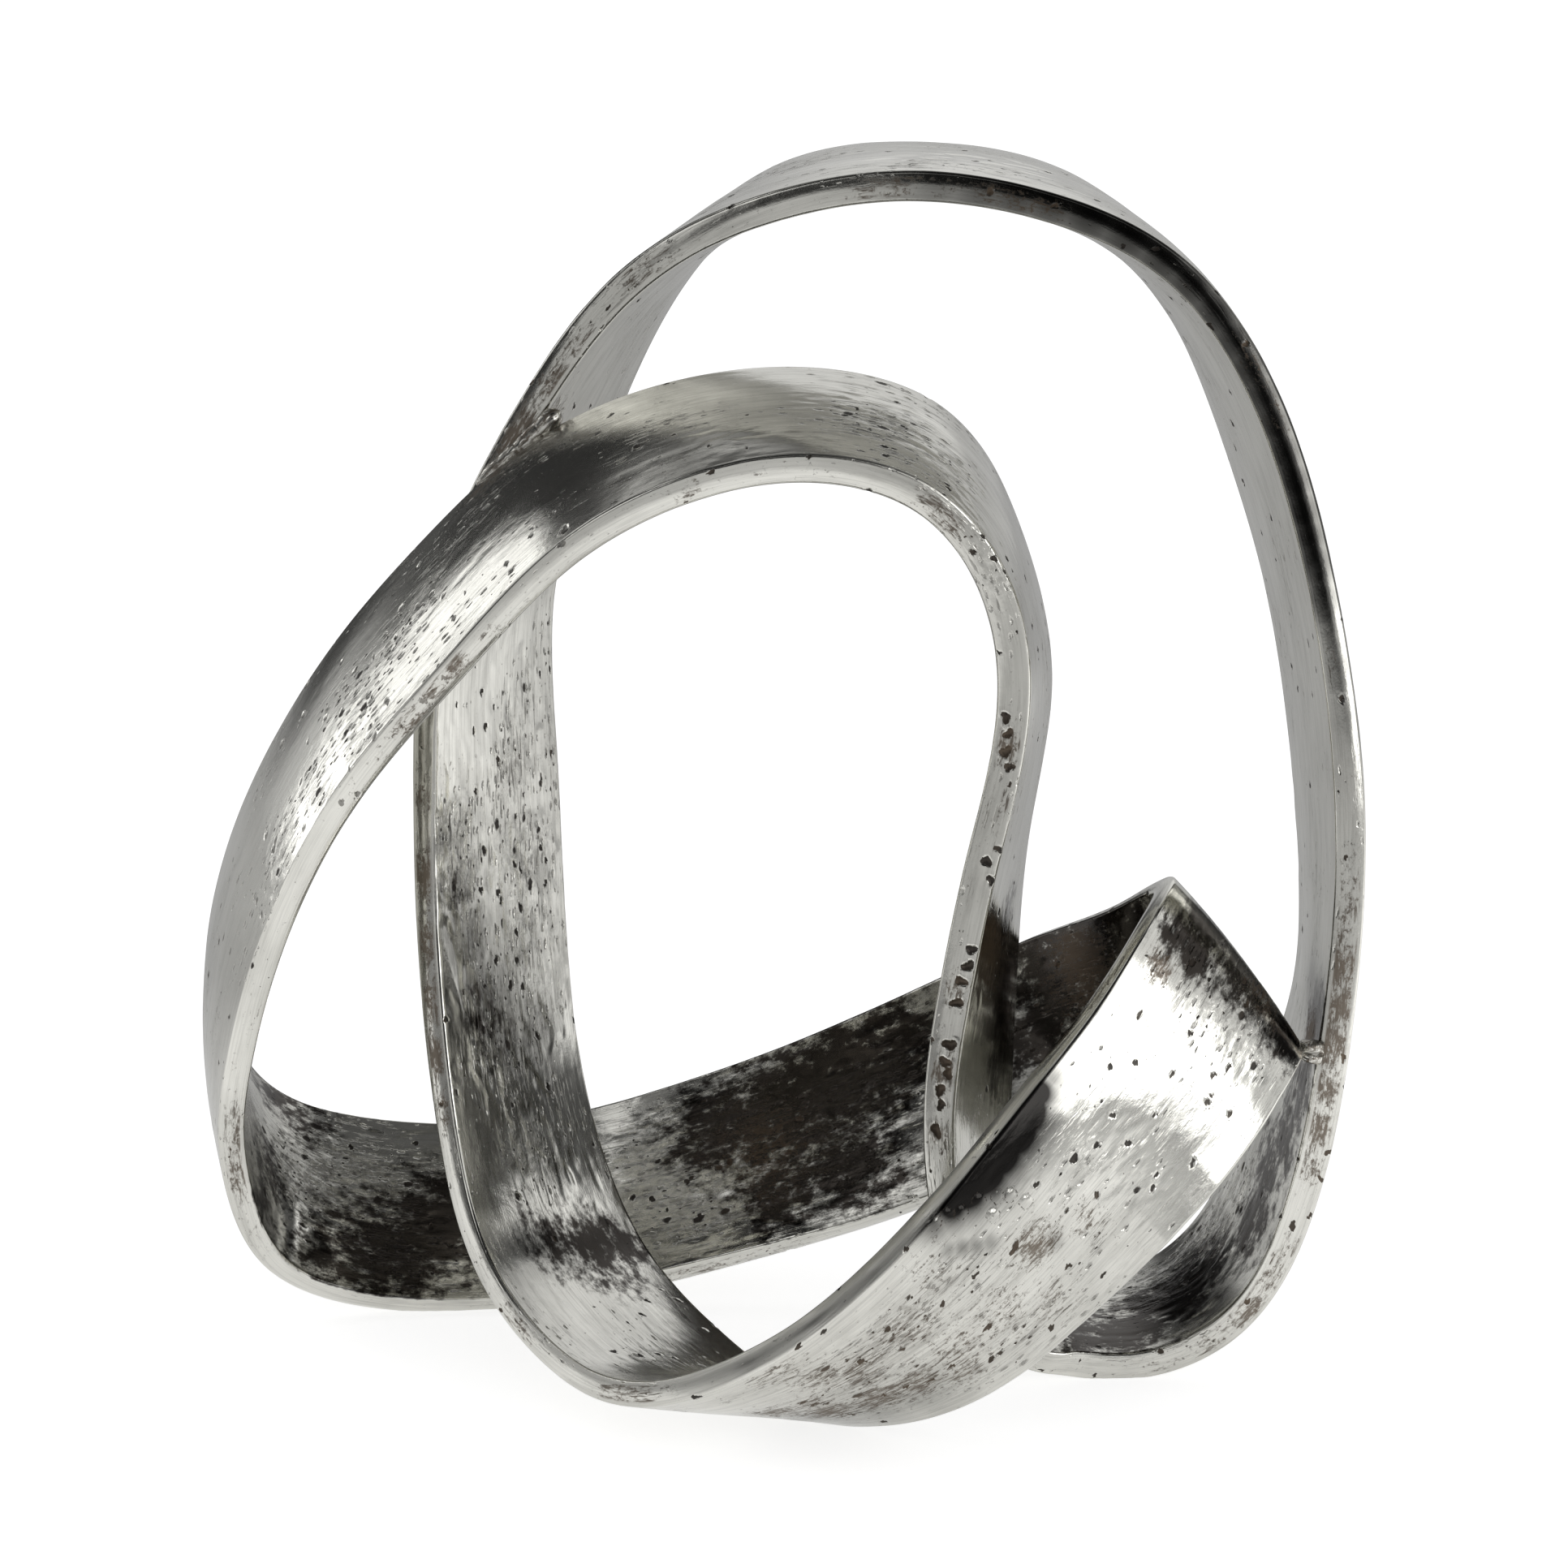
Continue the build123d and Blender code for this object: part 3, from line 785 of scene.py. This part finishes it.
def scaled(vector, factors):
    return joined("ShaderNodeVectorMath", "MULTIPLY", vector, factors).outputs[0]


def added(first, second):
    return joined("ShaderNodeVectorMath", "ADD", first, second).outputs[0]


def noise(vector, detail, roughness):
    tree = vector.id_data
    made = node(tree, "ShaderNodeTexNoise", Vector=vector, Scale=1.0, Detail=detail, Roughness=roughness)
    return made.outputs["Fac"]


def band_range(value, low, high, to_low=0.0, to_high=1.0):
    made = value.id_data.nodes.new("ShaderNodeMapRange")
    made.interpolation_type = "SMOOTHSTEP"
    for name, number in (("From Min", low), ("From Max", high), ("To Min", to_low), ("To Max", to_high)):
        made.inputs[name].default_value = number
    socket(made.inputs["Value"], value)
    return made.outputs["Result"]


def calc(operation, first, second, clamp=False):
    made = joined("ShaderNodeMath", operation, first, second)
    made.use_clamp = clamp
    return made.outputs[0]


def plus(first, second, clamp=False):
    return calc("ADD", first, second, clamp)


def minus(first, second):
    return calc("SUBTRACT", first, second)


def times(first, second, clamp=False):
    return calc("MULTIPLY", first, second, clamp)


def most(first, second, clamp=False):
    return calc("MAXIMUM", first, second, clamp)


def mixed(share, first, second):
    made = share.id_data.nodes.new("ShaderNodeMix")
    made.data_type = "RGBA"
    socket(made.inputs["Factor"], share)
    socket(made.inputs[6], first)
    socket(made.inputs[7], second)
    return made.outputs[2]


# How fast a hollow grows as its draw passes the edge
DRAW_GROWTH = 4.0


def hollows(place, long, wide, reach, edge, soft):
    # scatter of hollows, one to a cell of the given millimetres where its draw is over the edge
    tree = place.id_data
    cells = tree.nodes.new("ShaderNodeTexVoronoi")
    cells.voronoi_dimensions = "2D"
    cells.inputs["Scale"].default_value = 1.0
    socket(cells.inputs["Vector"], scaled(place, (1 / long, 1 / wide, 0.0)))
    draw = node(tree, "ShaderNodeSeparateColor", Color=cells.outputs["Color"]).outputs[0]
    radius = times(minus(draw, edge), DRAW_GROWTH, True)
    inside = minus(times(radius, reach), cells.outputs["Distance"])
    return calc("DIVIDE", inside, soft, True)


def unrolled(band):
    # distance along the band and round its section, for flat patterns
    tree = band.id_data
    split = node(tree, "ShaderNodeSeparateXYZ", Vector=band)
    round_section = plus(split.outputs["Y"], split.outputs["Z"])
    return node(tree, "ShaderNodeCombineXYZ", X=split.outputs["X"], Y=round_section).outputs[0]


# Patterns of the metal: swings to a millimetre along and across the band, detail and roughness of the noise
PATTERNS = {
    "patches": (0.022, 0.05, 4.0, 0.6),
    "brush": (0.035, 2.4, 4.0, 0.6),
    "peel": (0.22, 0.34, 3.0, 0.5),
    "hammer": (0.26, 0.42, 2.0, 0.5),
    "grain": (1.8, 2.6, 2.0, 0.5),
    "streaks": (0.22, 1.25, 6.0, 0.68),
    "blotches": (0.22, 0.34, 6.0, 0.70),
    "specks": (0.55, 0.80, 6.0, 0.72),
    "film": (0.05, 0.55, 5.0, 0.65),
    "grooves": (0.11, 1.15, 3.0, 0.6),
}
# Scattered hollows: millimetres of a cell, reach and softness, the draw needed on smooth and on rough skin
HOLLOWS = {
    "dents": (4.2, 1.5, 0.34, 0.22, 0.95, 0.36),
    "pinholes": (2.8, 2.0, 0.19, 0.10, 0.96, 0.56),
    "gas_pits": (8.0, 5.5, 0.19, 0.06, 0.98, 0.62),
}
RAGGED_SWINGS = (0.8, 1.1, 1.1)
RAGGED_SHIFT = (1.5, 0.8, 0.0)
# Values between which something comes in and, where it isn't 0 to 1, the shares that it goes from and to
RANGES = {
    "wear": (0.40, 0.85),
    "worn": (0.45, 0.85),
    "groove": (0.56, 0.68),
    "rough": (0.75, 1.40),
    "low_spot": (0.34, 0.50, 1.0, 0.0),
    "streak_edge": (0.3, 0.75, 0.74, 0.64),
    "clean_corner": (0.3, 0.95, 1.0, 0.15),
    "pit": (0.30, 0.55),
    "pit_reach": (0.02, 0.2),
    "pit_dirt": (0.3, 0.7, 0.62, 0.96),
    "dull": (0.35, 0.65),
    "brushed": (0.40, 0.70, 0.0, 0.30),
    "filmed": (0.48, 0.66, 0.0, 0.40),
    "mottled": (0.20, 0.75),
    "tarnish_and_shade_fade": (0.0, 0.3),
    "gloss": (0.3, 0.7, 0.09, 0.17),
    "brush_gloss": (0.3, 0.8, 0.0, 0.07),
}
# How dark each kind of dirt is, with the dents and the low spots of the rough skin simply made darker, and
# how high each pattern stands in millimetres
DIRT_AND_DARK_HOLLOWS = {"matter": 0.85, "pinholes": 1.0, "dents": 0.48, "grooves": 0.80, "low_spots": 0.42, "dented": 0.48}
RELIEF = {
    "peel": 0.050, "hammer": 0.42, "specks": 0.14, "brush": 0.010, "grain": 0.008,
    "dents": -0.16, "grooves": -0.12, "pinholes": -0.18, "gas_pits": -0.30,
}
# Shares that one pattern takes of another
ROUGH_WEAR = 0.35
STREAK_STAIN = 0.34
SPECK_EDGE = 0.64
SPECK_STAIN = 0.24
DIRT_SHARPNESS = 9.0
PIT_GRAIN = 0.7
GAS_PIT_DIRT = 0.96
MOTTLE_CONTRAST = 2.3
DIRT_AND_HOLLOW_ROUGHNESS = 0.35
MATTE_ROUGHNESS = 0.30
# Colours
BRUSH_GREY = (0.40, 0.393, 0.363, 1.0)
FILM_GREY = (0.42, 0.413, 0.383, 1.0)
PAINTED_SHADE_BLACK = (0.020, 0.019, 0.018, 1.0)
TARNISH_AND_SHADE_BLACK = (0.050, 0.044, 0.039, 1.0)
DIRT_AND_HOLLOW_BLACK = (0.036, 0.031, 0.027, 1.0)
STAIN_BROWN = (0.150, 0.110, 0.076, 1.0)
CAST_BRIGHT = (0.80, 0.792, 0.740, 1.0)
CAST_DULL = (0.68, 0.673, 0.627, 1.0)
WELD_BRIGHT = (0.79, 0.782, 0.730, 1.0)
WELD_DULL = (0.67, 0.663, 0.617, 1.0)


def ranged(title, value):
    return band_range(value, *RANGES[title])


def cast_metal(name, bright, dull):
    # antiqued cast aluminium: lengthwise brush lines and dents, darker hollows, dark pits, brown stains,
    # worn corners, tarnish partly painted as shade, and painted shade
    material, tree = new_material(name)
    shader = tree.nodes["Principled BSDF"]
    band = attribute(tree, "band", "Vector")
    mark = {title: attribute(tree, title, "Fac") for title in SURFACE}
    look = {}
    for title, (lengthwise, crosswise, detail, roughness) in PATTERNS.items():
        place = scaled(band, (lengthwise, crosswise, crosswise))
        look[title] = noise(place, detail, roughness)
    patches = look["patches"]
    # dents, pinholes and gas pits with uneven outlines, thicker on the rough cast skin
    swings = scaled(band, RAGGED_SWINGS)
    ragged = node(tree, "ShaderNodeTexNoise", Vector=swings, Scale=1.0, Detail=2.0)
    ragged = added(scaled(ragged.outputs["Color"], RAGGED_SHIFT), unrolled(band))
    wear = plus(patches, times(mark["rough"], ROUGH_WEAR))
    for title, (long, wide, reach, soft, smooth_draw, rough_draw) in HOLLOWS.items():
        edge = band_range(wear, *RANGES["wear"], smooth_draw, rough_draw)
        look[title] = hollows(ragged, long, wide, reach, edge, soft)
    grooves = times(ranged("groove", look["grooves"]), ranged("worn", wear))
    look["grooves"] = times(grooves, mark["streaky"])
    rough_share = ranged("rough", plus(mark["rough"], patches))
    # low spots of the hammered skin, made darker in colour
    look["low_spots"] = times(ranged("low_spot", look["hammer"]), rough_share)
    look["dented"] = times(mark["dent"], look["blotches"])
    # brown and black matter left in streaks and specks
    streak_edge = ranged("streak_edge", patches)
    streak_edge = minus(streak_edge, times(mark["stain"], STREAK_STAIN))
    speck_edge = minus(SPECK_EDGE, times(mark["stain"], SPECK_STAIN))
    streak_share = times(minus(look["streaks"], streak_edge), DIRT_SHARPNESS, True)
    speck_share = times(minus(look["specks"], speck_edge), DIRT_SHARPNESS, True)
    look["matter"] = most(streak_share, speck_share)
    dirt_and_dark_hollows = 0.0
    for title, darkness in DIRT_AND_DARK_HOLLOWS.items():
        dirt_and_dark_hollows = most(dirt_and_dark_hollows, times(look[title], darkness))
    dirt_and_dark_hollows = times(dirt_and_dark_hollows, ranged("clean_corner", mark["corner"]))
    # pits full of dirt
    uneven_pit = plus(mark["cavity"], times(minus(look["grain"], 0.5), PIT_GRAIN))
    pit_share = times(ranged("pit", uneven_pit), ranged("pit_reach", mark["cavity"]))
    dirt_and_dark_hollows = most(dirt_and_dark_hollows, times(pit_share, ranged("pit_dirt", mark["streaky"])))
    dirt_and_dark_hollows = most(dirt_and_dark_hollows, times(look["gas_pits"], GAS_PIT_DIRT), True)
    # colour of the metal under its films, its painted shade and its tarnish, partly painted shade, with the
    # dirt and the darker hollows over it
    metal = mixed(ranged("dull", patches), bright, dull)
    metal = mixed(ranged("brushed", look["brush"]), metal, BRUSH_GREY)
    film = times(ranged("filmed", look["film"]), mark["streaky"])
    metal = mixed(film, metal, FILM_GREY)
    # painted shade: a dark colour that stands in for dark reflections and shadow
    metal = mixed(mark["painted_shade"], metal, PAINTED_SHADE_BLACK)
    # tarnish, partly painted shade, in mottled blotches
    mottle = times(minus(look["blotches"], 0.5), MOTTLE_CONTRAST)
    mottle = ranged("mottled", plus(mark["tarnish_and_shade"], mottle))
    mottle = times(mottle, ranged("tarnish_and_shade_fade", mark["tarnish_and_shade"]))
    metal = mixed(mottle, metal, TARNISH_AND_SHADE_BLACK)
    brown = mixed(mark["stain"], DIRT_AND_HOLLOW_BLACK, STAIN_BROWN)
    socket(shader.inputs["Base Color"], mixed(dirt_and_dark_hollows, metal, brown))
    shader.inputs["Metallic"].default_value = 1.0
    gloss = plus(ranged("gloss", patches), ranged("brush_gloss", look["brush"]))
    gloss = plus(gloss, times(dirt_and_dark_hollows, DIRT_AND_HOLLOW_ROUGHNESS))
    gloss = plus(gloss, times(mark["matte"], MATTE_ROUGHNESS), True)
    socket(shader.inputs["Roughness"], gloss)
    # relief, the hammered and the speckled one on rough skin alone
    for title in ("hammer", "specks"):
        look[title] = times(look[title], rough_share)
    height = 0.0
    for title, millimetres in RELIEF.items():
        height = plus(height, times(look[title], millimetres))
    bump = node(tree, "ShaderNodeBump", Height=height, Strength=1.0, Distance=MM)
    socket(shader.inputs["Normal"], bump.outputs["Normal"])
    return material


aluminium = cast_metal("cast_aluminium", CAST_BRIGHT, CAST_DULL)
weld_metal = cast_metal("weld_metal", WELD_BRIGHT, WELD_DULL)

# Castings, and the ground-flush weld at the start of each
starts = [marks[station] for name, station in CASTINGS]
ends = starts[1:] + [lap_length]
names = [name for name, station in CASTINGS]
seam_rings = int(round(SEAM_HALF_WIDTH / ring_step))
for name, s0, s1, back in zip(names, starts, ends, [names[-1]] + names[:-1]):
    first = int(round(s0 / ring_step))
    last = int(round(s1 / ring_step))
    band_piece(name + "_skin", name, first + seam_rings, last - seam_rings, aluminium)
    weld = "weld_" + back + "_to_" + name
    if first == 0:
        first = ring_count
    band_piece(weld + "_skin", weld, first - seam_rings, first + seam_rings, weld_metal)


# Fillet welds at the two crossings
BEAD_SIDES = 40
BEAD_STEP = 0.5
BEAD_SPARE = 0.9
BEAD_LEAST = 1.4
BEAD_MOST = 3.6
BEAD_ROUND = 3.0
BEAD_CORNER = BAND_THICKNESS / 2.6
BEAD_TIP = 0.0004
# Lumps of a bead: size, height and seed
BEAD_LUMPS = [(4.5, 0.5, 61), (1.6, 0.25, 62)]
# Marks that are even all over a bead
BEAD_SURFACE = {
    "cavity": 0.0, "stain": 0.7, "tarnish_and_shade": 0.2, "rough": 0.3, "corner": 0.0, "dent": 0.0, "matte": 0.2,
    "painted_shade": 0.0, "streaky": 0.8,
}
# Beads: stations, side and face of the band there, stations of what it rests on, first and last pixel
BEADS = [
    ("arch_crossing_weld", (26, 31), -1, -1, (2, 5), ((588, 602), (695, 513))),
    ("fold_tip_weld", (42, 44), 1, -1, (15, 18), ((1620, 1314), (1624, 1278))),
]


def bead_piece(name, node, path, radii, material):
    # lumpy bead along a path, drawn to a point at both ends
    runs = unit(np.gradient(path, axis=0))
    sides = unit(np.cross(runs, (0.0, 0.0, 1.0)))
    ups = np.cross(sides, runs)
    angle = 2 * np.pi * np.arange(BEAD_SIDES) / BEAD_SIDES
    spokes = sides[:, None] * np.cos(angle)[None, :, None] + ups[:, None] * np.sin(angle)[None, :, None]
    m = len(path)
    taper = np.sqrt(np.clip(1 - np.linspace(-1, 1, m) ** 4, BEAD_TIP, 1.0))
    verts = path[:, None] + (radii * taper)[:, None, None] * spokes
    lumps = sum(height * gradient_noise(verts / size, seed) for size, height, seed in BEAD_LUMPS)
    verts = verts + (lumps * taper[:, None])[..., None] * spokes
    mesh = tube_mesh(name, verts)[0]
    flat_place = np.stack([
        np.broadcast_to((np.arange(m) * BEAD_STEP)[:, None], (m, BEAD_SIDES)),
        np.broadcast_to(BEAD_ROUND * np.cos(angle)[None], (m, BEAD_SIDES)),
        np.broadcast_to(BEAD_ROUND * np.sin(angle)[None], (m, BEAD_SIDES)),
    ], axis=-1)
    set_points(mesh, "band", flat_place, "FLOAT_VECTOR")
    for title, value in BEAD_SURFACE.items():
        set_points(mesh, title, np.full(m * BEAD_SIDES, value))
    add_piece(name, node, mesh, material)


def crossing_path(stations, a_side, t_side, other, pixels):
    # along one corner of the band, half way to the stretch that it rests on, between two pixels
    rings = np.nonzero((ring_s > marks[stations[0]]) & (ring_s < marks[stations[1]]))[0]
    lean = (front_lean if a_side > 0 else back_lean)[rings][:, None]
    edge = middle[rings] + a_side * width[rings] * BAND_WIDTH / 2
    edge = edge + (t_side * BEAD_CORNER + lean) * face[rings]
    near = skin[(ring_s > marks[other[0]]) & (ring_s < marks[other[1]])].reshape(-1, 3)
    gaps = np.empty(len(rings))
    feet = np.empty((len(rings), 3))
    for number, place in enumerate(edge):
        away = np.linalg.norm(near - place, axis=1)
        best = np.argmin(away)
        gaps[number] = away[best]
        feet[number] = near[best]
    line = (edge + feet) / 2
    column, row, depth = photo_pixels(line)
    first, last = [np.argmin(np.hypot(column - x, row - y)) for x, y in pixels]
    part = slice(min(first, last), max(first, last) + 1)
    radii = np.clip(gaps[part] / 2 + BEAD_SPARE, BEAD_LEAST, BEAD_MOST)
    return line[part], radii


for name, *where in BEADS:
    bead_piece(name + "_bead", name, *crossing_path(*where), weld_metal)

# Studio: pale floor, two soft boxes, and cloths round them that only the metal mirrors
FLOOR_SIZE = 12.0
STUDIO_MIDDLE = np.array([0.0, 0.0, 0.13])
FLOOR_GREY = (0.60, 0.60, 0.60, 1.0)
FLOOR_ROUGHNESS = 0.9
FLOOR_GLOW = 0.71
WHITE = (1.0, 1.0, 1.0, 1.0)
# The floor in the metal's mirror, from and to metres of depth or of width, and the brightness there
FLOOR_FRONT = (-0.5, -0.2, 0.10, 0.52)
FLOOR_BACK = (-0.05, 0.40, 1.0, 0.0)
FLOOR_RIGHT = (0.2, 0.5)
FLOOR_RIGHT_FRONT = (-0.4, -0.1)
FLOOR_RIGHT_BACK = (0.5, 0.8, 0.46, 0.0)
CLOTH_STEP = 3.0
ZENITH = 88
WORLD_LEVELS = (0.65, 1.0)
# Watts of a soft box to a square metre and a unit of radiance
BOX_WATTS = 4.0


def floor_material():
    # white to the camera; the metal mirrors it less bright far in front of the object and behind it
    material, tree = new_material("pale_floor")
    shader = tree.nodes["Principled BSDF"]
    shader.inputs["Base Color"].default_value = FLOOR_GREY
    shader.inputs["Roughness"].default_value = FLOOR_ROUGHNESS
    shader.inputs["Specular IOR Level"].default_value = 0.0
    shader.inputs["Emission Color"].default_value = WHITE
    path = tree.nodes.new("ShaderNodeLightPath")
    coords = tree.nodes.new("ShaderNodeTexCoord")
    split = node(tree, "ShaderNodeSeparateXYZ", Vector=coords.outputs["Object"])
    side, away = split.outputs["X"], split.outputs["Y"]
    mirrored = times(band_range(away, *FLOOR_FRONT), band_range(away, *FLOOR_BACK))
    right = times(band_range(side, *FLOOR_RIGHT), band_range(away, *FLOOR_RIGHT_FRONT))
    right = times(right, band_range(away, *FLOOR_RIGHT_BACK))
    mirrored = times(plus(mirrored, right), path.outputs["Is Glossy Ray"])
    glow = plus(mirrored, times(path.outputs["Is Camera Ray"], FLOOR_GLOW))
    socket(shader.inputs["Emission Strength"], glow)
    return material


def cloth_material():
    # cloth of an even grey, with feathered borders
    material, tree = new_material("studio_cloth")
    tree.nodes.clear()
    clear = tree.nodes.new("ShaderNodeBsdfTransparent")
    grey = node(tree, "ShaderNodeEmission", Strength=attribute(tree, "level", "Fac"))
    mix = tree.nodes.new("ShaderNodeMixShader")
    socket(mix.inputs[0], attribute(tree, "cover", "Fac"))
    socket(mix.inputs[1], clear.outputs[0])
    socket(mix.inputs[2], grey.outputs[0])
    node(tree, "ShaderNodeOutputMaterial", Surface=mix.outputs[0])
    return material


def heading(azimuth, elevation):
    # direction at degrees from the viewer's side, to the right, and above the floor
    a = np.radians(azimuth)
    e = np.radians(elevation)
    return np.stack([np.sin(a) * np.cos(e), -np.cos(a) * np.cos(e), np.sin(e)], axis=-1)


def stage_mesh(name, verts, faces, material):
    mesh = bpy.data.meshes.new(name)
    mesh.from_pydata(verts, [], faces)
    mesh.materials.append(material)
    piece = add_object(name, mesh)
    return piece


def studio_cloth(name, left, right, bottom, top, level, feather, distance, material):
    # part of a sphere round the object, between two azimuths and two elevations
    columns = np.linspace(left, right, int((right - left) / CLOTH_STEP) + 2)
    rows = np.linspace(bottom, top, int((top - bottom) / CLOTH_STEP) + 2)
    az, el = np.meshgrid(columns, rows)
    verts = STUDIO_MIDDLE + distance * heading(az, el).reshape(-1, 3)
    wide = len(columns)
    faces = [(r * wide + c, r * wide + c + 1, (r + 1) * wide + c + 1, (r + 1) * wide + c)
             for r in range(len(rows) - 1) for c in range(wide - 1)]
    piece = stage_mesh(name, verts.tolist(), faces, material)
    inside_az = np.minimum(az - left, right - az)
    inside_el = np.minimum(el - bottom, np.where(top > ZENITH, 90, top - el))
    cover = smooth(inside_az, 0, feather) * smooth(inside_el, 0, feather)
    set_points(piece.data, "cover", cover)
    set_points(piece.data, "level", np.full(cover.shape, level))
    piece.visible_camera = False
    piece.visible_diffuse = False
    piece.visible_shadow = False


# Cloths: azimuths and elevations in degrees, grey level, feathered border in degrees, distance in metres
CLOTHS = [
    ("front_cloth", -20, 32, 5, 46, 0.015, 8, 2.0),
    ("front_low_cloth", -46, 42, -8, 32, 0.50, 6, 2.5),
    ("top_front_cloth", -100, 84, 38, 89, 0.015, 10, 2.2),
    ("top_back_cloth", 74, 270, 46, 89, 0.10, 10, 2.3),
    ("top_left_strip", -110, -50, 61, 70, 0.90, 3, 2.0),
    ("left_cloth", -88, -42, 6, 48, 0.03, 7, 2.1),
    ("left_low_cloth", -78, -40, -8, 14, 0.26, 6, 2.4),
    ("left_back_cloth", -168, -116, 6, 52, 0.03, 8, 2.0),
    ("left_back_low_cloth", -174, -138, -8, 16, 0.04, 9, 2.0),
    ("left_grey_cloth", -160, -116, -8, 20, 0.55, 6, 2.2),
    ("back_cloth", 126, 216, -8, 54, 0.50, 7, 2.4),
    ("back_high_cloth", 138, 190, 10, 46, 0.78, 8, 2.2),
    ("right_back_cloth", 96, 140, 0, 25, 0.08, 5, 2.1),
    ("right_cloth", 92, 142, 31, 58, 0.05, 6, 2.5),
    ("right_grey_cloth", 60, 104, -8, 40, 0.75, 4, 2.6),
    ("right_low_cloth", 28, 84, -8, 6, 0.36, 3, 2.5),
    ("left_mid_cloth", -122, -84, 0, 46, 0.45, 4, 2.3),
]
h = FLOOR_SIZE / 2
stage_mesh("floor", [(-h, -h, 0), (h, -h, 0), (h, h, 0), (-h, h, 0)], [(0, 1, 2, 3)], floor_material())
cloth = cloth_material()
for row in CLOTHS:
    studio_cloth(*row, cloth)


def soft_box(name, azimuth, elevation, distance, wide, tall, radiance):
    lamp = bpy.data.lights.new(name, "AREA")
    lamp.shape = "RECTANGLE"
    lamp.size = wide
    lamp.size_y = tall
    lamp.energy = BOX_WATTS * wide * tall * radiance
    piece = add_object(name, lamp)
    piece.location = STUDIO_MIDDLE + distance * heading(azimuth, elevation)
    piece.rotation_euler = (math.radians(90 - elevation), 0.0, math.radians(azimuth))


# Soft boxes: azimuth and elevation in degrees, distance, width and height in metres, radiance
SOFT_BOXES = [
    ("left_box", -123, 16, 1.3, 0.28, 0.85, 1.15),
    ("right_box", 53, 14, 1.35, 0.58, 0.64, 1.7),
]
for row in SOFT_BOXES:
    soft_box(*row)

world = bpy.data.worlds.new("studio")
bpy.context.scene.world = world
world.use_nodes = True
world_tree = world.node_tree
background = world_tree.nodes["Background"]
background.inputs["Color"].default_value = WHITE
rays = world_tree.nodes.new("ShaderNodeLightPath").outputs
seen = plus(plus(rays["Is Camera Ray"], rays["Is Glossy Ray"]), rays["Is Transmission Ray"], True)
socket(background.inputs["Strength"], band_range(seen, 0.0, 1.0, *WORLD_LEVELS))

lens = bpy.data.cameras.new("camera")
lens.sensor_width = SENSOR
lens.lens = SENSOR * FOCAL_PIXELS / PHOTO
lens.clip_start = 0.05
camera = add_object("camera", lens)
camera.location = view_from * MM
camera.rotation_euler = (math.pi / 2 - VIEW_ELEVATION, 0.0, 0.0)
bpy.context.scene.camera = camera
bpy.context.scene.view_settings.view_transform = "Standard"
